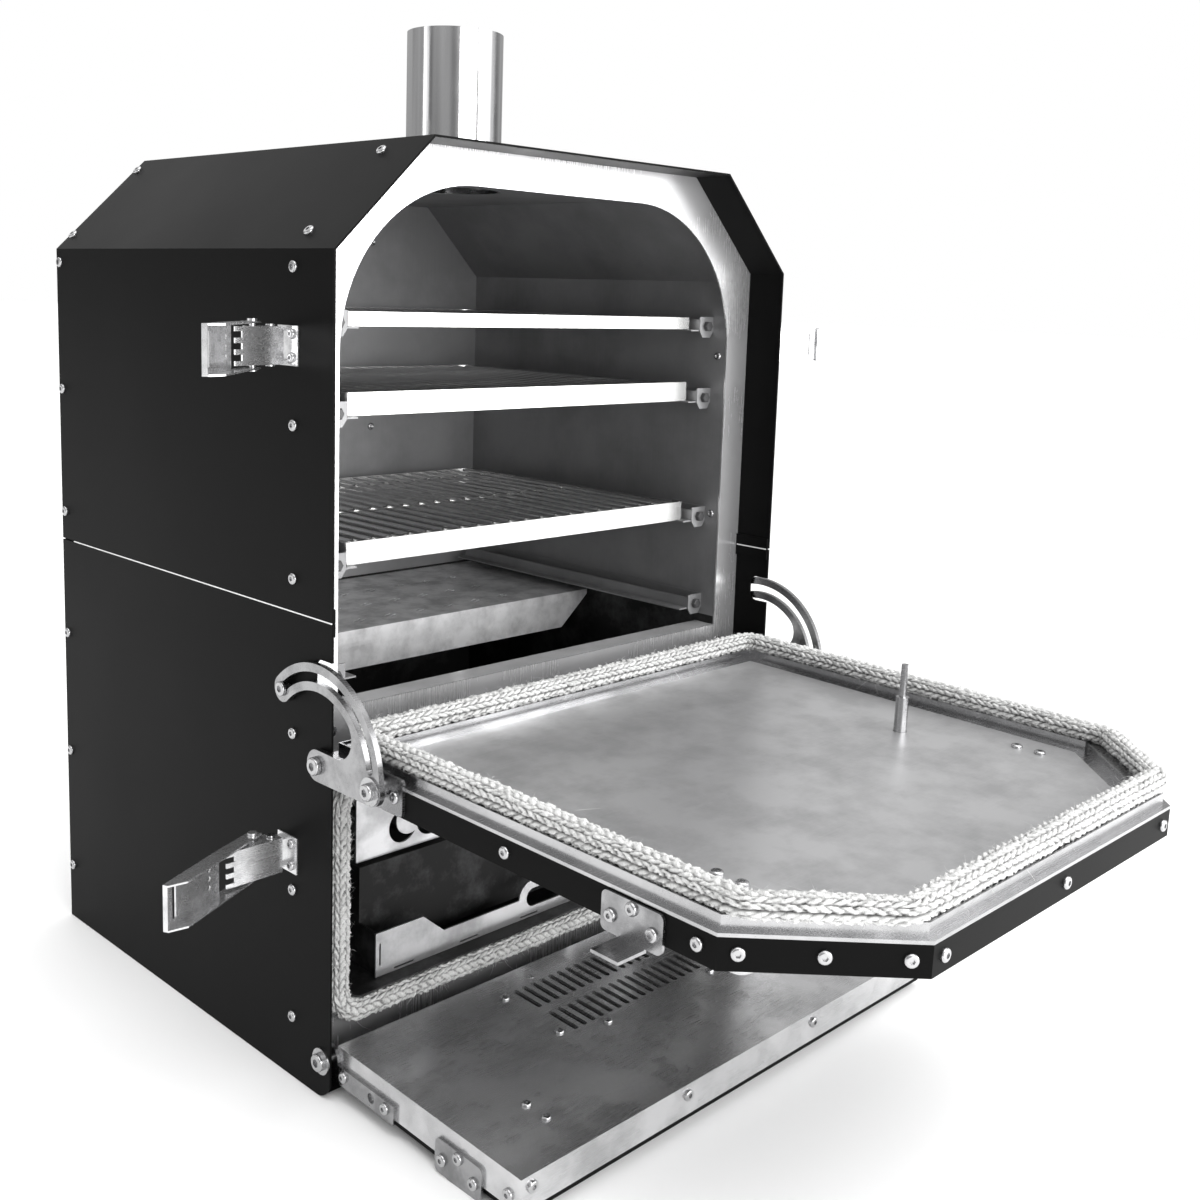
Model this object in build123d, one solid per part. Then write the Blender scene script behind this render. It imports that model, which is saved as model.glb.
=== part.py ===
from build123d import *
import os
from math import atan2, cos, degrees, pi, radians, sin

# Cabinet kiln-oven fired by charcoal: an octagonal insulated cabinet with two drop-down doors.
# Millimetres, +Z up. The origin is the middle of the base; -Y is the front, where the doors hang.

# ---------------------------------------------------------------- cabinet
body_width = 600.0
body_depth = 505.0
body_height = 845.0
wall_height = 745.0          # top of the upright side walls, where the roof chamfers start
roof_chamfer = 102.0         # how far each roof chamfer comes in from the side
jacket_sheet = 2.0
seam_height = 434.0          # joint between the upper and lower jacket
seam_gap = 1.6
foot_radius = 20.0           # rounded lower front corner of each side panel
front_recess = 45.5          # front plate, behind the jacket's front edge
plate_sheet = 2.0
liner_sheet = 1.5
strip_width = 24.0

# ---------------------------------------------------------------- openings in the front plate
oven_half = 262.0            # also the oven liner's inside half width
sill_height = 343.0
arch_top = 810.0
arch_radius = 150.0
oven_back = 478.0            # inside face of the back wall, behind the front edge
oven_roof = 819.0
roof_fold = 734.0
liner_chamfer = 84.0
liner_floor_edge = 352.0     # lower edge of the oven liner
fire_half = 254.0
fire_floor = 67.0
fire_top = 262.0
fire_radius = 14.0
fire_lip = 10.0              # the firebox liner stands out of the front plate by this
sill_depth = 26.0
sill_drop = 52.0

# ---------------------------------------------------------------- hinges and doors
hinge_setback = 12.0         # both hinge lines, behind the jacket's front edge
upper_hinge_height = 309.0
lower_hinge_height = 35.0
upper_droop = 1.0            # each open door hangs this many degrees below level
lower_droop = 2.0
door_half = 289.0
door_out = 21.5              # outer face of a door, beyond its hinge line
pan_sheet = 1.5
upper_start = -8.0           # near edge, side corner and far edge of the upper door from its hinge
upper_corner = 428.0
upper_reach = 528.0
upper_chamfer = 101.0
band_top = 2.0
lip_top = 5.0
lip_width = 6.0
rim_top = 15.0
seat_depth = 1.5
seat_width = 20.5
panel_level = 4.5
panel_margin = 11.0          # ledge of the door frame left showing round the inner panel
rope_across = 18.0
rope_high = 19.0
fire_rope_high = 17.5        # the fire mouth's seal
lower_start = 8.0
lower_reach = 249.0
lower_inside = 14.0          # inside face of the lower door, above its hinge line
plate_reach = 94.0
plate_screws = [22.0, 82.0]
pocket_half = 238.0          # recess in the lower door's outer face, with a grip bar across it
pocket_width = 56.0
pocket_depth = 21.0
pocket_bar = 10.0

# ---------------------------------------------------------------- hinge arms and strikes
arm_sheet = 5.0
arm_gap = 2.0                # washer between side panel and arm
arm_radius = 77.0            # middle of the arc slot, and the arm's door bolt
arm_band = 24.0
slot_width = 8.6
stop_angle = 133.0           # where the stop stud sits round the hinge, from straight ahead
slot_start = 13.0
arm_corner = 20.0            # inside corners of the arm are filled to this radius
arm_bore = 4.05
pin_radius = 4.0
spacer_radius = 8.0
notch_clear = 4.0
strike_sheet = 2.5
strike_length = 58.0
strike_drop = 30.0
tab_width = 26.0
tab_reach = 17.5             # the tab's end beyond the side panel
upper_strike = 355.0
lower_strike = 178.0

# ---------------------------------------------------------------- latches
latch_setback = 58.0
latch_sheet = 1.5
latch_half = 17.0
lever_pivot_out = 14.0
lever_pivot_back = 72.0
lever_length = 50.0
lever_half = 16.0
lever_web = 9.5              # lever web, in front of its pivot
link_offset_along = 15.0     # draw link's pin, along the lever and behind its line
link_offset_back = 6.0
link_half = 20.0
link_web = 8.0
link_slot = 5.0
link_end_margin = 13.0
latch_pin = 2.5
pin_clear = 0.05

# ---------------------------------------------------------------- flue, shelves, fire parts
flue_radius = 50.0
flue_wall = 1.2
flue_setback = 214.0
flue_top = 978.0
flue_clear = 0.5
rail_heights = [684.0, 604.0, 468.0, 366.0]
rail_front = 68.0
rail_back = 462.0
rail_width = 23.0
rail_tall = 21.0
rail_sheet = 1.5
ledge_width = 13.0
rack_half = 234.0
rack_front = 75.0
rack_back = 452.0
rack_bars = [13.0, 21.0, 21.0]
rack_band = 2.5              # thickness of the flat bars
rack_step = 2.2              # the side and back bars stand this much below the front bar
rack_return = 16.0
rack_rod = 2.0
rack_pitch = 22.0
rack_travel = 300.0
basket_half = 212.0
basket_front = 52.0
basket_wall = 83.0
basket_back = 430.0
basket_top = 166.0
basket_sheet = 2.0
baffle_top = 350.0
baffle_drop = 43.0
baffle_front = 250.0
guard_setback = 90.0

# ---------------------------------------------------------------- thermometer and handles
dial_x = 172.0
dial_reach = 274.0
dial_radius = 32.0
stem_radius = 6.2
probe_radius = 3.4
handle_radius = 8.0
handle_bend = 30.0
foot_sheet = 3.0
bracket_x = 220.0
upper_handle = 382.0
lower_handle = 192.0
handle_stand = 42.0
vent_pitch = 11.6
vent_count = 19
vent_width = 5.6
vent_rows = [(37.0, 75.0), (86.0, 124.0)]
damper_travel = 5.8
damper_half = 109.5
damper_margin = 4.0

# ---------------------------------------------------------------- fasteners
head_radius = 5.25
head_height = 3.0
flush_height = 0.5           # heads that lie under a rope seal
socket_depth = 1.6
shank_radius = 2.9
screw_clear = 0.3
small_head = 4.4
gap = 0.4                    # general clearance between pieces that only lie side by side
basket_base = fire_floor + gap

half = body_width / 2
front = -body_depth / 2
back = body_depth / 2
hinge_y = front + hinge_setback
plate_y = front + front_recess
inner_half = half - jacket_sheet


# ---------------------------------------------------------------- small helpers
def block(x0, x1, y0, y1, z0, z1):
    return Pos((x0 + x1) / 2, (y0 + y1) / 2, (z0 + z1) / 2) * Box(x1 - x0, y1 - y0, z1 - z0)


def facing_front(y):
    """Plane of X and Z at depth y."""
    return Plane(origin=(0, y, 0), x_dir=(1, 0, 0), z_dir=(0, -1, 0))


def facing_side(x):
    """Plane of Y and Z at width x."""
    return Plane(origin=(x, 0, 0), x_dir=(0, 1, 0), z_dir=(1, 0, 0))


def polygon(points):
    return make_face(Polyline(*points, close=True))


def slab_y(shape, y0, y1):
    """An X-Z outline carried from y0 back to y1."""
    return extrude(facing_front(y0) * shape, amount=-(y1 - y0))


def slab_x(shape, x0, x1):
    """A Y-Z outline carried from x0 to x1."""
    return extrude(facing_side(x0) * shape, amount=x1 - x0)


def slab_z(shape, z0, z1):
    return extrude(Plane.XY.offset(z0) * shape, amount=z1 - z0)


def inset(shape, amount):
    return offset(shape, -amount, kind=Kind.INTERSECTION) if amount else shape


def rod(start, end, radius):
    a, b = Vector(*start), Vector(*end)
    along = b - a
    return Plane(origin=a, z_dir=along) * Pos(0, 0, along.length / 2) * Cylinder(radius, along.length)


def both(shape):
    """A piece and its mirror image on the other side of the cabinet."""
    return [shape, mirror(shape, about=Plane.YZ)]


def bundle(solids):
    return Compound(children=list(solids))


def button_screw(at, out, grip, head=head_radius, tall=head_height):
    """Button-head screw with a hex socket; its head sits at the point and the shank runs inward."""
    cap = fillet(Cylinder(head, tall).edges().group_by(Axis.Z)[-1], tall * 0.7)
    cap = Pos(0, 0, tall / 2) * cap
    socket = extrude(Plane.XY.offset(tall - socket_depth) * RegularPolygon(head * 0.42, 6), amount=2)
    shank = Pos(0, 0, -grip / 2) * Cylinder(shank_radius, grip)
    return Plane(origin=at, z_dir=out) * (cap - socket + shank)


def screw_hole(at, out, deep):
    radius = shank_radius + screw_clear
    return Plane(origin=at, z_dir=out) * Pos(0, 0, -deep / 2 + 1) * Cylinder(radius, deep + 2)


# ---------------------------------------------------------------- cabinet outline
def cabinet_outline():
    left, right = -half, half
    return polygon([(left, 0), (right, 0), (right, wall_height), (right - roof_chamfer, body_height),
                    (left + roof_chamfer, body_height), (left, wall_height)])


def oven_outline():
    shoulder = oven_half - liner_chamfer
    return polygon([(-oven_half, liner_floor_edge), (oven_half, liner_floor_edge), (oven_half, roof_fold),
                    (shoulder, oven_roof), (-shoulder, oven_roof), (-oven_half, roof_fold)])


front_screw_heights = [730.0, 596.5, 463.5, 325.0, 180.0, 59.0]
back_screw_heights = [731.0, 597.5, 465.0, 330.0, 196.0, 62.0]
front_screw_setback = 57.7
back_screw_setback = body_depth - 8.5
roof_screw_shares = [0.15, 0.88]     # along each chamfer from the wall to the roof


def jacket_fasteners():
    """Point and outward direction of every screw in the jacket's side walls and chamfers."""
    found = []
    slope = Vector(body_height - wall_height, 0, roof_chamfer).normalized()
    rows = ((front_screw_setback, front_screw_heights), (back_screw_setback, back_screw_heights))
    for setback, heights in rows:
        for side in (-1, 1):
            found += [((side * half, front + setback, z), (side, 0, 0)) for z in heights]
            for share in roof_screw_shares:
                x = half - roof_chamfer * share
                z = wall_height + (body_height - wall_height) * share
                found.append(((side * x, front + setback, z), (side * slope.X, 0, slope.Z)))
    return found


def stop_point():
    angle = radians(stop_angle)
    return hinge_y - arm_radius * cos(angle), upper_hinge_height + arm_radius * sin(angle)


def latch_screw_points():
    """Base screws of every latch, as points on the side walls."""
    for side, height, _, _ in latch_places.values():
        for end in (-1, 1):
            yield (side * half, front + latch_setback, height + end * 10), (side, 0, 0)


def jacket_shell():
    outline = cabinet_outline()
    shell = slab_y(outline, front, back) - slab_y(inset(outline, jacket_sheet), front - 1, back + 1)
    for at, out in [*jacket_fasteners(), *latch_screw_points(), *collar_screws()]:
        shell -= screw_hole(at, out, jacket_sheet + 5)
    y = front + flue_setback
    return shell - rod((0, y, body_height - 9), (0, y, body_height + 9), flue_radius + flue_clear)


def upper_jacket():
    return jacket_shell() - block(-half - 1, half + 1, front - 1, back + 1, -1, seam_height + seam_gap / 2)


def lower_jacket():
    above = block(-half - 1, half + 1, front - 1, back + 1, seam_height - seam_gap / 2, body_height + 1)
    shell = jacket_shell() - above
    corner = Rectangle(foot_radius, foot_radius, align=(Align.MIN, Align.MIN))
    corner -= Pos(foot_radius, foot_radius) * Circle(foot_radius)
    shell -= slab_x(Pos(front, 0) * corner, -half - 1, half + 1)
    notch_half = spacer_radius + 1.5 * notch_clear
    notch_end = hinge_setback + spacer_radius + notch_clear
    notch = Rectangle(notch_end + 2, 2 * notch_half)
    notch = Pos(front + notch_end / 2 - 1, upper_hinge_height + arm_radius) * notch
    notch = fillet(notch.vertices().group_by(Axis.X)[-1], notch_half * 0.6)
    shell -= slab_x(notch, -half - 1, half + 1)
    stud_y, stud_z = stop_point()
    for y, z in ((hinge_y, upper_hinge_height), (hinge_y, lower_hinge_height), (stud_y, stud_z)):
        shell -= rod((-half - 1, y, z), (half + 1, y, z), pin_radius + gap)
    return shell


def seam_strip():
    """Stainless bands behind the seam, one each side, which join the two jackets."""
    low, high = seam_height - strip_width / 2, seam_height + strip_width / 2
    outer = inner_half - 0.1
    side = block(outer - plate_sheet, outer, front + 1, back - 26, low, high)
    return bundle(both(side))


def back_panel():
    outline = inset(cabinet_outline(), jacket_sheet + 0.2)
    rim = 20.0
    pan = slab_y(outline, back - rim, back - 1)
    pan -= slab_y(inset(outline, jacket_sheet), back - rim - 1, back - 1 - jacket_sheet)
    for at, out in jacket_fasteners():
        if at[1] > 0:
            pan -= screw_hole(at, out, jacket_sheet * 2 + 4)
    return pan


def arch_opening():
    """Oven mouth: straight sides and sill, with two very large rounded top corners."""
    mouth = polygon([(-oven_half, sill_height), (oven_half, sill_height), (oven_half, arch_top),
                     (-oven_half, arch_top)])
    return fillet(mouth.vertices().group_by(Axis.Y)[-1], arch_radius)


def fire_opening(grow=0.0):
    width, height = 2 * (fire_half + grow), fire_top - fire_floor + 2 * grow
    mouth = Pos(0, (fire_floor + fire_top) / 2) * Rectangle(width, height)
    return fillet(mouth.vertices(), fire_radius + grow)


sill_screws = [(-268.0, 323.0), (268.0, 323.0)]


def front_plate():
    outline = inset(cabinet_outline(), jacket_sheet + 0.2)
    flange = 24.0
    plate = slab_y(outline, plate_y, plate_y + flange)
    plate -= slab_y(inset(outline, plate_sheet), plate_y + plate_sheet, plate_y + flange + 1)
    plate -= slab_y(arch_opening(), plate_y - 1, plate_y + plate_sheet + 1)
    plate -= slab_y(fire_opening(liner_sheet + gap), plate_y - 1, plate_y + plate_sheet + 1)
    for at, out in [*jacket_fasteners(), *latch_screw_points()]:
        if at[1] < 0:
            plate -= screw_hole(at, out, jacket_sheet * 2 + 4)
    stud_y, stud_z = stop_point()
    plate -= rod((-half, stud_y, stud_z), (half, stud_y, stud_z), pin_radius + gap)
    low, high = seam_height - strip_width / 2 - gap, seam_height + strip_width / 2 + gap
    for side in (-1, 1):
        x0, x1 = sorted((side * (inner_half - plate_sheet - gap), side * half))
        plate -= block(x0, x1, plate_y - 1, plate_y + flange + 1, low, high)
    for x, z in sill_screws:
        plate -= rod((x, plate_y - 1, z), (x, plate_y + plate_sheet + 1, z), shank_radius + screw_clear)
    return plate


liner_front = front_recess + plate_sheet + gap


def upper_liner():
    outline = oven_outline()
    outer = offset(outline, liner_sheet, kind=Kind.INTERSECTION)
    y0, y1 = front + liner_front, front + oven_back
    liner = slab_y(outer, y0, y1 + liner_sheet) - slab_y(outline, y0 - 1, y1)
    liner -= block(-half, half, y0 - 1, back, liner_floor_edge - 5, liner_floor_edge)
    y = front + flue_setback
    return liner - rod((0, y, oven_roof - 5), (0, y, body_height), flue_radius + flue_clear)


def firebox_liner():
    """Lower chamber: a box open upward to the oven, whose mouth stands out of the front plate as a lip."""
    y0, y1 = plate_y - fire_lip, front + oven_back
    mouth = slab_y(fire_opening(liner_sheet), y0, front + liner_front)
    mouth -= slab_y(fire_opening(), y0 - 1, front + liner_front + 1)
    top = liner_floor_edge - gap
    wide = oven_half + liner_sheet
    box_front = front + liner_front
    box = block(-wide, wide, box_front, y1 + liner_sheet, fire_floor - liner_sheet, top)
    box -= block(-oven_half, oven_half, box_front + liner_sheet, y1, fire_floor, top + 1)
    box -= slab_y(fire_opening(), y0, box_front + liner_sheet + 1)
    low = sill_height - sill_drop - gap
    box -= block(-oven_half, oven_half, box_front - 1, box_front + sill_depth, low, top + 1)
    return mouth + box


def sill_channel():
    """Folded sill under the oven mouth: its top strip, and a web down behind the front plate."""
    y0 = front + liner_front
    top = block(-oven_half + 1, oven_half - 1, y0, y0 + sill_depth - gap, sill_height - liner_sheet,
                sill_height)
    web = block(-oven_half + 1, oven_half - 1, y0, y0 + liner_sheet, sill_height - sill_drop, sill_height)
    rear = block(-oven_half + 1, oven_half - 1, y0 + sill_depth - gap - liner_sheet, y0 + sill_depth - gap,
                 sill_height - 20, sill_height)
    return top + web + rear


def insulation_blanket():
    """Ceramic-fibre blanket that fills the space between jacket and liners."""
    outline = inset(cabinet_outline(), jacket_sheet + plate_sheet + 1.2)
    y0, y1 = front + front_recess + 30, back - 22
    solid = slab_y(outline, y0, y1)
    outline = offset(oven_outline(), liner_sheet + gap, kind=Kind.INTERSECTION)
    hollow = slab_y(outline, y0 - 1, front + oven_back + liner_sheet + gap)
    wide = oven_half + liner_sheet + gap
    low = block(-wide, wide, y0 - 1, front + oven_back + liner_sheet + gap, fire_floor - liner_sheet - gap,
                liner_floor_edge + 2)
    x, y = 0, front + flue_setback
    return solid - hollow - low - rod((x, y, oven_roof), (x, y, body_height), flue_radius + flue_clear + 1)


def flue_stub():
    y = front + flue_setback
    tube = rod((0, y, oven_roof), (0, y, spigot_base), neck_radius)
    tube += rod((0, y, spigot_base), (0, y, flue_top), flue_radius)
    tube -= rod((0, y, oven_roof - 1), (0, y, spigot_base + neck_step), neck_radius - flue_wall)
    return tube - rod((0, y, spigot_base + neck_step), (0, y, flue_top + 1), flue_radius - flue_wall)


collar_radius = 68.0
collar_height = 14.0
spigot_base = body_height + collar_height + 1
neck_radius = flue_radius - 1.4   # the lower end is swaged in to pass the roof
neck_step = 2.5


def flue_collar():
    """Flat ring with an upstand that holds the flue on the roof."""
    y, z = front + flue_setback, body_height
    ring = rod((0, y, z), (0, y, z + 2), collar_radius)
    ring += rod((0, y, z), (0, y, z + collar_height), flue_radius + 2.2)
    for at, out in collar_screws():
        ring -= screw_hole(at, out, 4)
    return ring - rod((0, y, z - 1), (0, y, z + 20), neck_radius + 0.2)


def collar_screws():
    y, z = front + flue_setback, body_height + 2
    for k in range(4):
        a = radians(45 + 90 * k)
        yield (60 * cos(a), y + 60 * sin(a), z), (0, 0, 1)


# ---------------------------------------------------------------- shelves
def shelf_rail(height):
    """Folded rail on the right wall: a channel open at the top, an inward ledge, and a bolted front tab."""
    wall_x = oven_half - 0.1
    web_x = wall_x - rail_width
    y0, y1 = front + rail_front, front + rail_back
    low, high = height - rail_tall / 2, height + rail_tall / 2
    t = rail_sheet
    floor_z = low + 5
    rail = block(wall_x - t, wall_x, y0, y1, floor_z, high)
    rail += block(web_x, wall_x, y0, y1, floor_z, floor_z + t)
    rail += block(web_x, web_x + t, y0, y1, floor_z, high - 3)
    rail += block(web_x - ledge_width, web_x + t, y0, y1, floor_z, floor_z + t)
    tab = polygon([(web_x, low + 5), (web_x + 5, low - 2), (wall_x - 5, low - 2), (wall_x, low + 5),
                   (wall_x, high), (web_x, high)])
    tab = slab_y(tab, y0 - t, y0)
    bolt_x = (web_x + wall_x) / 2
    tab -= rod((bolt_x, y0 - 5, height), (bolt_x, y0 + 5, height), 3.6)
    return rail + tab



def shelf_rails(side):
    solids = []
    for height in rail_heights:
        rail = shelf_rail(height)
        solids.append(rail if side > 0 else mirror(rail, about=Plane.YZ))
    return bundle(solids)


def rack(index):
    """Wire shelf: a flat front bar with returned ends, a lower band round the sides and back, and wires."""
    tall = rack_bars[index]
    base = rail_heights[index] - rail_tall / 2 + 5 + rail_sheet + gap
    top = base + tall
    y0, y1 = front + rack_front, front + rack_back
    outline = Pos(0, (y0 + y1) / 2) * Rectangle(2 * rack_half, y1 - y0)
    outline = fillet(outline.vertices().group_by(Axis.Y)[-1], 26)
    outline = fillet(outline.vertices().group_by(Axis.Y)[0], 5)
    inside = offset(outline, -rack_band)
    frame = slab_z(outline, base, top - rack_step) - slab_z(inside, base - 1, top + 1)
    bar = slab_z(outline, base, top) - slab_z(inside, base - 1, top + 1)
    frame += bar - block(-half, half, y0 + rack_return, y1 + 1, base - 1, top + 1)
    wire_z = top - rack_step - rack_rod - 0.3
    cross_z = wire_z - 1.8 * rack_rod
    reach = rack_half - rack_band / 2
    for share in (0.1, 0.5, 0.9):
        y = y0 + (y1 - y0) * share
        frame += rod((-reach, y, cross_z), (reach, y, cross_z), rack_rod)
    count = int((rack_half - 14) / rack_pitch)
    for k in range(-count, count + 1):
        x = rack_pitch * k
        frame += rod((x, y0 + rack_band / 2, wire_z), (x, y1 - rack_band / 2, wire_z), rack_rod)
    return frame


# ---------------------------------------------------------------- fire parts
def baffle():
    """Heat baffle over the back of the fire: a slotted top with a trapezoid front and sloped ends."""
    wide, narrow = oven_half - 3, oven_half - 46
    y0, y1 = front + baffle_front, front + oven_back - 2
    low = baffle_top - baffle_drop
    shape = polygon([(-narrow, low), (narrow, low), (wide, baffle_top - 6), (wide, baffle_top),
                     (-wide, baffle_top), (-wide, baffle_top - 6)])
    solid = slab_y(shape, y0, y1)
    hollow = slab_y(inset(shape, basket_sheet), y0 + basket_sheet, y1 + 1)
    hollow += block(-narrow + 4, narrow - 4, y0 + basket_sheet, y1 + 1, low - 1, low + 4)
    tray = solid - hollow
    for row in range(3):
        for k in range(9):
            x = -190 + k * 42 + row * 10
            slot = Rot(0, 0, 28) * (SlotOverall(16, 3) + Pos(0, 6) * SlotOverall(16, 3))
            tray -= slab_z(Pos(x, y0 + 30 + row * 60) * slot, baffle_top - basket_sheet - 1, baffle_top + 1)
    return tray


def fire_guard():
    """Plate behind the lower mouth with crescent air cuts, which keeps flames off the door."""
    y0 = front + guard_setback
    low, high = 168.0, sill_height - sill_drop + 8
    plate = slab_y(polygon([(-208, low), (208, low), (208, high), (-208, high)]), y0, y0 + basket_sheet)
    for x in (-152, -118, 118, 152):
        side = -1 if x < 0 else 1
        moon = Pos(x, 192) * Circle(17) - Pos(x - side * 8, 198) * Circle(16)
        plate -= slab_y(moon, y0 - 1, y0 + basket_sheet + 1)
    for side in (-1, 1):
        x0, x1 = sorted((side * 200, side * (oven_half - 0.1)))
        plate += block(x0, x1, y0, y0 + basket_sheet, high - 24, high)
        x0, x1 = sorted((side * (oven_half - 0.1), side * (oven_half - 0.1 - basket_sheet)))
        plate += block(x0, x1, y0, y0 + 22, high - 24, high)
    return plate


def basket_front_plate():
    """Low laser-cut plate with raised shoulders, tab slots and a bridge handle."""
    shoulder, dip = basket_base + 44, basket_base + 22
    y0 = front + basket_front
    step = basket_half - 57
    shape = polygon([(-basket_half, basket_base), (basket_half, basket_base), (basket_half, shoulder),
                     (step, shoulder),
                     (step - 26, dip), (-step + 26, dip), (-step, shoulder), (-basket_half, shoulder)])
    grip = Pos(15, dip) * SlotOverall(86, 36)
    finger = Pos(15, dip - 1) * SlotOverall(66, 20)
    shape = shape + grip - finger
    for x in (-182, -100, -18, 64, 146):
        shape -= Pos(x + 4, basket_base + 3) * Rectangle(24, 1.6)
    for side in (-1, 1):
        shape -= Pos(side * (basket_half - 5), basket_base + 22) * Rectangle(1.8, 22)
    return slab_y(shape, y0, y0 + basket_sheet)


def basket_box():
    """Fire basket: a folded box of dark plate with air slots, open at the top."""
    y0, y1 = front + basket_wall, front + basket_back
    t = basket_sheet
    w = basket_half - 3
    low = basket_base
    box = block(-w, w, y0, y0 + t, low + 8, basket_top) + block(-w, w, y1 - t, y1, low, basket_top)
    for side in (-1, 1):
        x0, x1 = sorted((side * w, side * (w - t)))
        box += block(x0, x1, y0, y1, low, basket_top)
        box += block(x0, x1, front + basket_front + basket_sheet + gap, y0 + 1, low, basket_base + 43)
    for k in range(9):
        x = -160 + 40 * k
        box -= slab_y(Pos(x, low + 62) * Rot(0, 0, 90) * SlotOverall(46, 6), y1 - t - 1, y1 + 1)
    for k in range(6):
        y = y0 + 50 + 50 * k
        box -= slab_x(Pos(y, low + 62) * Rot(0, 0, 90) * SlotOverall(46, 6), -w - 1, w + 1)
    return box


def fire_grate():
    """Slotted grate that carries the charcoal a little above the firebox floor."""
    y0, y1 = front + basket_wall + basket_sheet + gap, front + basket_back - basket_sheet - gap
    w = basket_half - 3 - basket_sheet - gap
    grate = block(-w, w, y0, y1, basket_base + 8, basket_base + 11)
    for side in (-1, 1):
        x0, x1 = sorted((side * w, side * (w - 3)))
        grate += block(x0, x1, y0, y1, basket_base, basket_base + 9)
    for k in range(14):
        x = -182 + 28 * k
        for y in (y0 + 90, (y0 + y1) / 2 + 82):
            grate -= slab_z(Pos(x, y) * Rot(0, 0, 90) * SlotOverall(140, 9), basket_base + 7,
                            basket_base + 12)
    return grate


def firebox_gasket():
    """Rope seal on the front plate, round the lip of the lower mouth."""
    outer = fire_opening(liner_sheet + 1.5 + rope_across)
    ring = slab_y(outer, plate_y - fire_rope_high, plate_y - 0.1)
    return ring - slab_y(fire_opening(liner_sheet + 1.5), plate_y - fire_rope_high - 1, plate_y + 1)


# ---------------------------------------------------------------- doors, each flat about its hinge line
def place_upper(shape):
    return Pos(0, hinge_y, upper_hinge_height) * Rot(upper_droop, 0, 0) * shape


def place_lower(shape):
    return Pos(0, hinge_y, lower_hinge_height) * Rot(lower_droop, 0, 0) * shape


def upper_outline():
    tip = door_half - upper_chamfer
    return polygon([(-door_half, -upper_start), (door_half, -upper_start), (door_half, -upper_corner),
                    (tip, -upper_reach), (-tip, -upper_reach), (-door_half, -upper_corner)])


def ring(outline, a, b, z0, z1):
    return slab_z(inset(outline, a), z0, z1) - slab_z(inset(outline, b), z0 - 1, z1 + 1)


band_screw_level = (band_top - door_out) / 2 + 1


def upper_band_screws():
    """Screws round the black band: three on each side, on each chamfer and along the far edge."""
    found = []
    z = band_screw_level
    for side in (-1, 1):
        for reach in (30.0, 222.0, 412.0):
            found.append(((side * door_half, -reach, z), (side, 0, 0)))
        out = Vector(upper_reach - upper_corner, -upper_chamfer, 0).normalized()
        for share in (0.1, 0.5, 0.9):
            x = door_half - upper_chamfer * share
            y = -upper_corner - (upper_reach - upper_corner) * share
            found.append(((side * x, y, z), (side * out.X, out.Y, 0)))
    for x in (-174.0, 0.0, 174.0):
        found.append(((x, -upper_reach, z), (0, -1, 0)))
    return found


def upper_door_pan():
    outline = upper_outline()
    pan = slab_z(outline, -door_out, band_top)
    pan -= slab_z(inset(outline, pan_sheet), -door_out + pan_sheet, band_top + 1)
    for at, out in upper_band_screws():
        pan -= screw_hole(at, out, 4)
    for x, reach in strike_bolts(upper_strike):
        for side in (-1, 1):
            at = (side * door_half, -reach, x)
            pan -= screw_hole(at, (side, 0, 0), 4)
    for side in (-1, 1):
        pan -= screw_hole((side * door_half, -bracket_screw, -5), (side, 0, 0), 4)
    pan -= rod((dial_x, -dial_reach, -door_out - 1), (dial_x, -dial_reach, 0), stem_radius + gap)
    return place_upper(pan)


def upper_door_frame():
    """Stainless frame: edge lip, raised rope channel and the ledge under the inner panel."""
    outline = upper_outline()
    t = pan_sheet
    channel = lip_width + seat_width
    floor_z = rim_top - seat_depth
    frame = ring(outline, 0, lip_width + t, lip_top - 2.7, lip_top)
    frame += ring(outline, lip_width, lip_width + t, lip_top - 1, rim_top)
    frame += ring(outline, lip_width, channel, floor_z - t, floor_z)
    frame += ring(outline, channel - t, channel, panel_level - t, rim_top)
    frame += ring(outline, channel - t, channel + panel_margin + 16, panel_level - t, panel_level)
    return place_upper(frame)


def panel_bolts():
    for side in (-1, 1):
        for reach in (upper_handle - 11.5, upper_handle + 11.5):
            yield side * bracket_x, -reach


def upper_door_panel():
    outline = upper_outline()
    plate = slab_z(inset(outline, lip_width + seat_width + panel_margin), panel_level,
                   panel_level + liner_sheet)
    plate -= rod((dial_x, -dial_reach, 0), (dial_x, -dial_reach, 20), stem_radius + gap)
    for x, y in panel_bolts():
        plate -= rod((x, y, 0), (x, y, 20), shank_radius + screw_clear)
    return place_upper(plate)


def upper_door_insulation():
    outline = upper_outline()
    low, high = -door_out + pan_sheet + gap, panel_level - pan_sheet - gap
    slab = slab_z(inset(outline, lip_width + seat_width + panel_margin + 18), low, high)
    slab -= rod((dial_x, -dial_reach, low - 1), (dial_x, -dial_reach, high + 1), stem_radius + 1)
    for x, y in panel_bolts():
        slab -= rod((x, y, low - 1), (x, y, high + 1), shank_radius + 1)
    return place_upper(slab)


def upper_door_gasket():
    outline = upper_outline()
    a = lip_width + pan_sheet + 0.2
    low = rim_top - seat_depth + 0.1
    return place_upper(ring(outline, a, a + rope_across - 0.8, low, low + rope_high))


# ---------------------------------------------------------------- hinge arms, strikes
bracket_screw = 90.0


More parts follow.
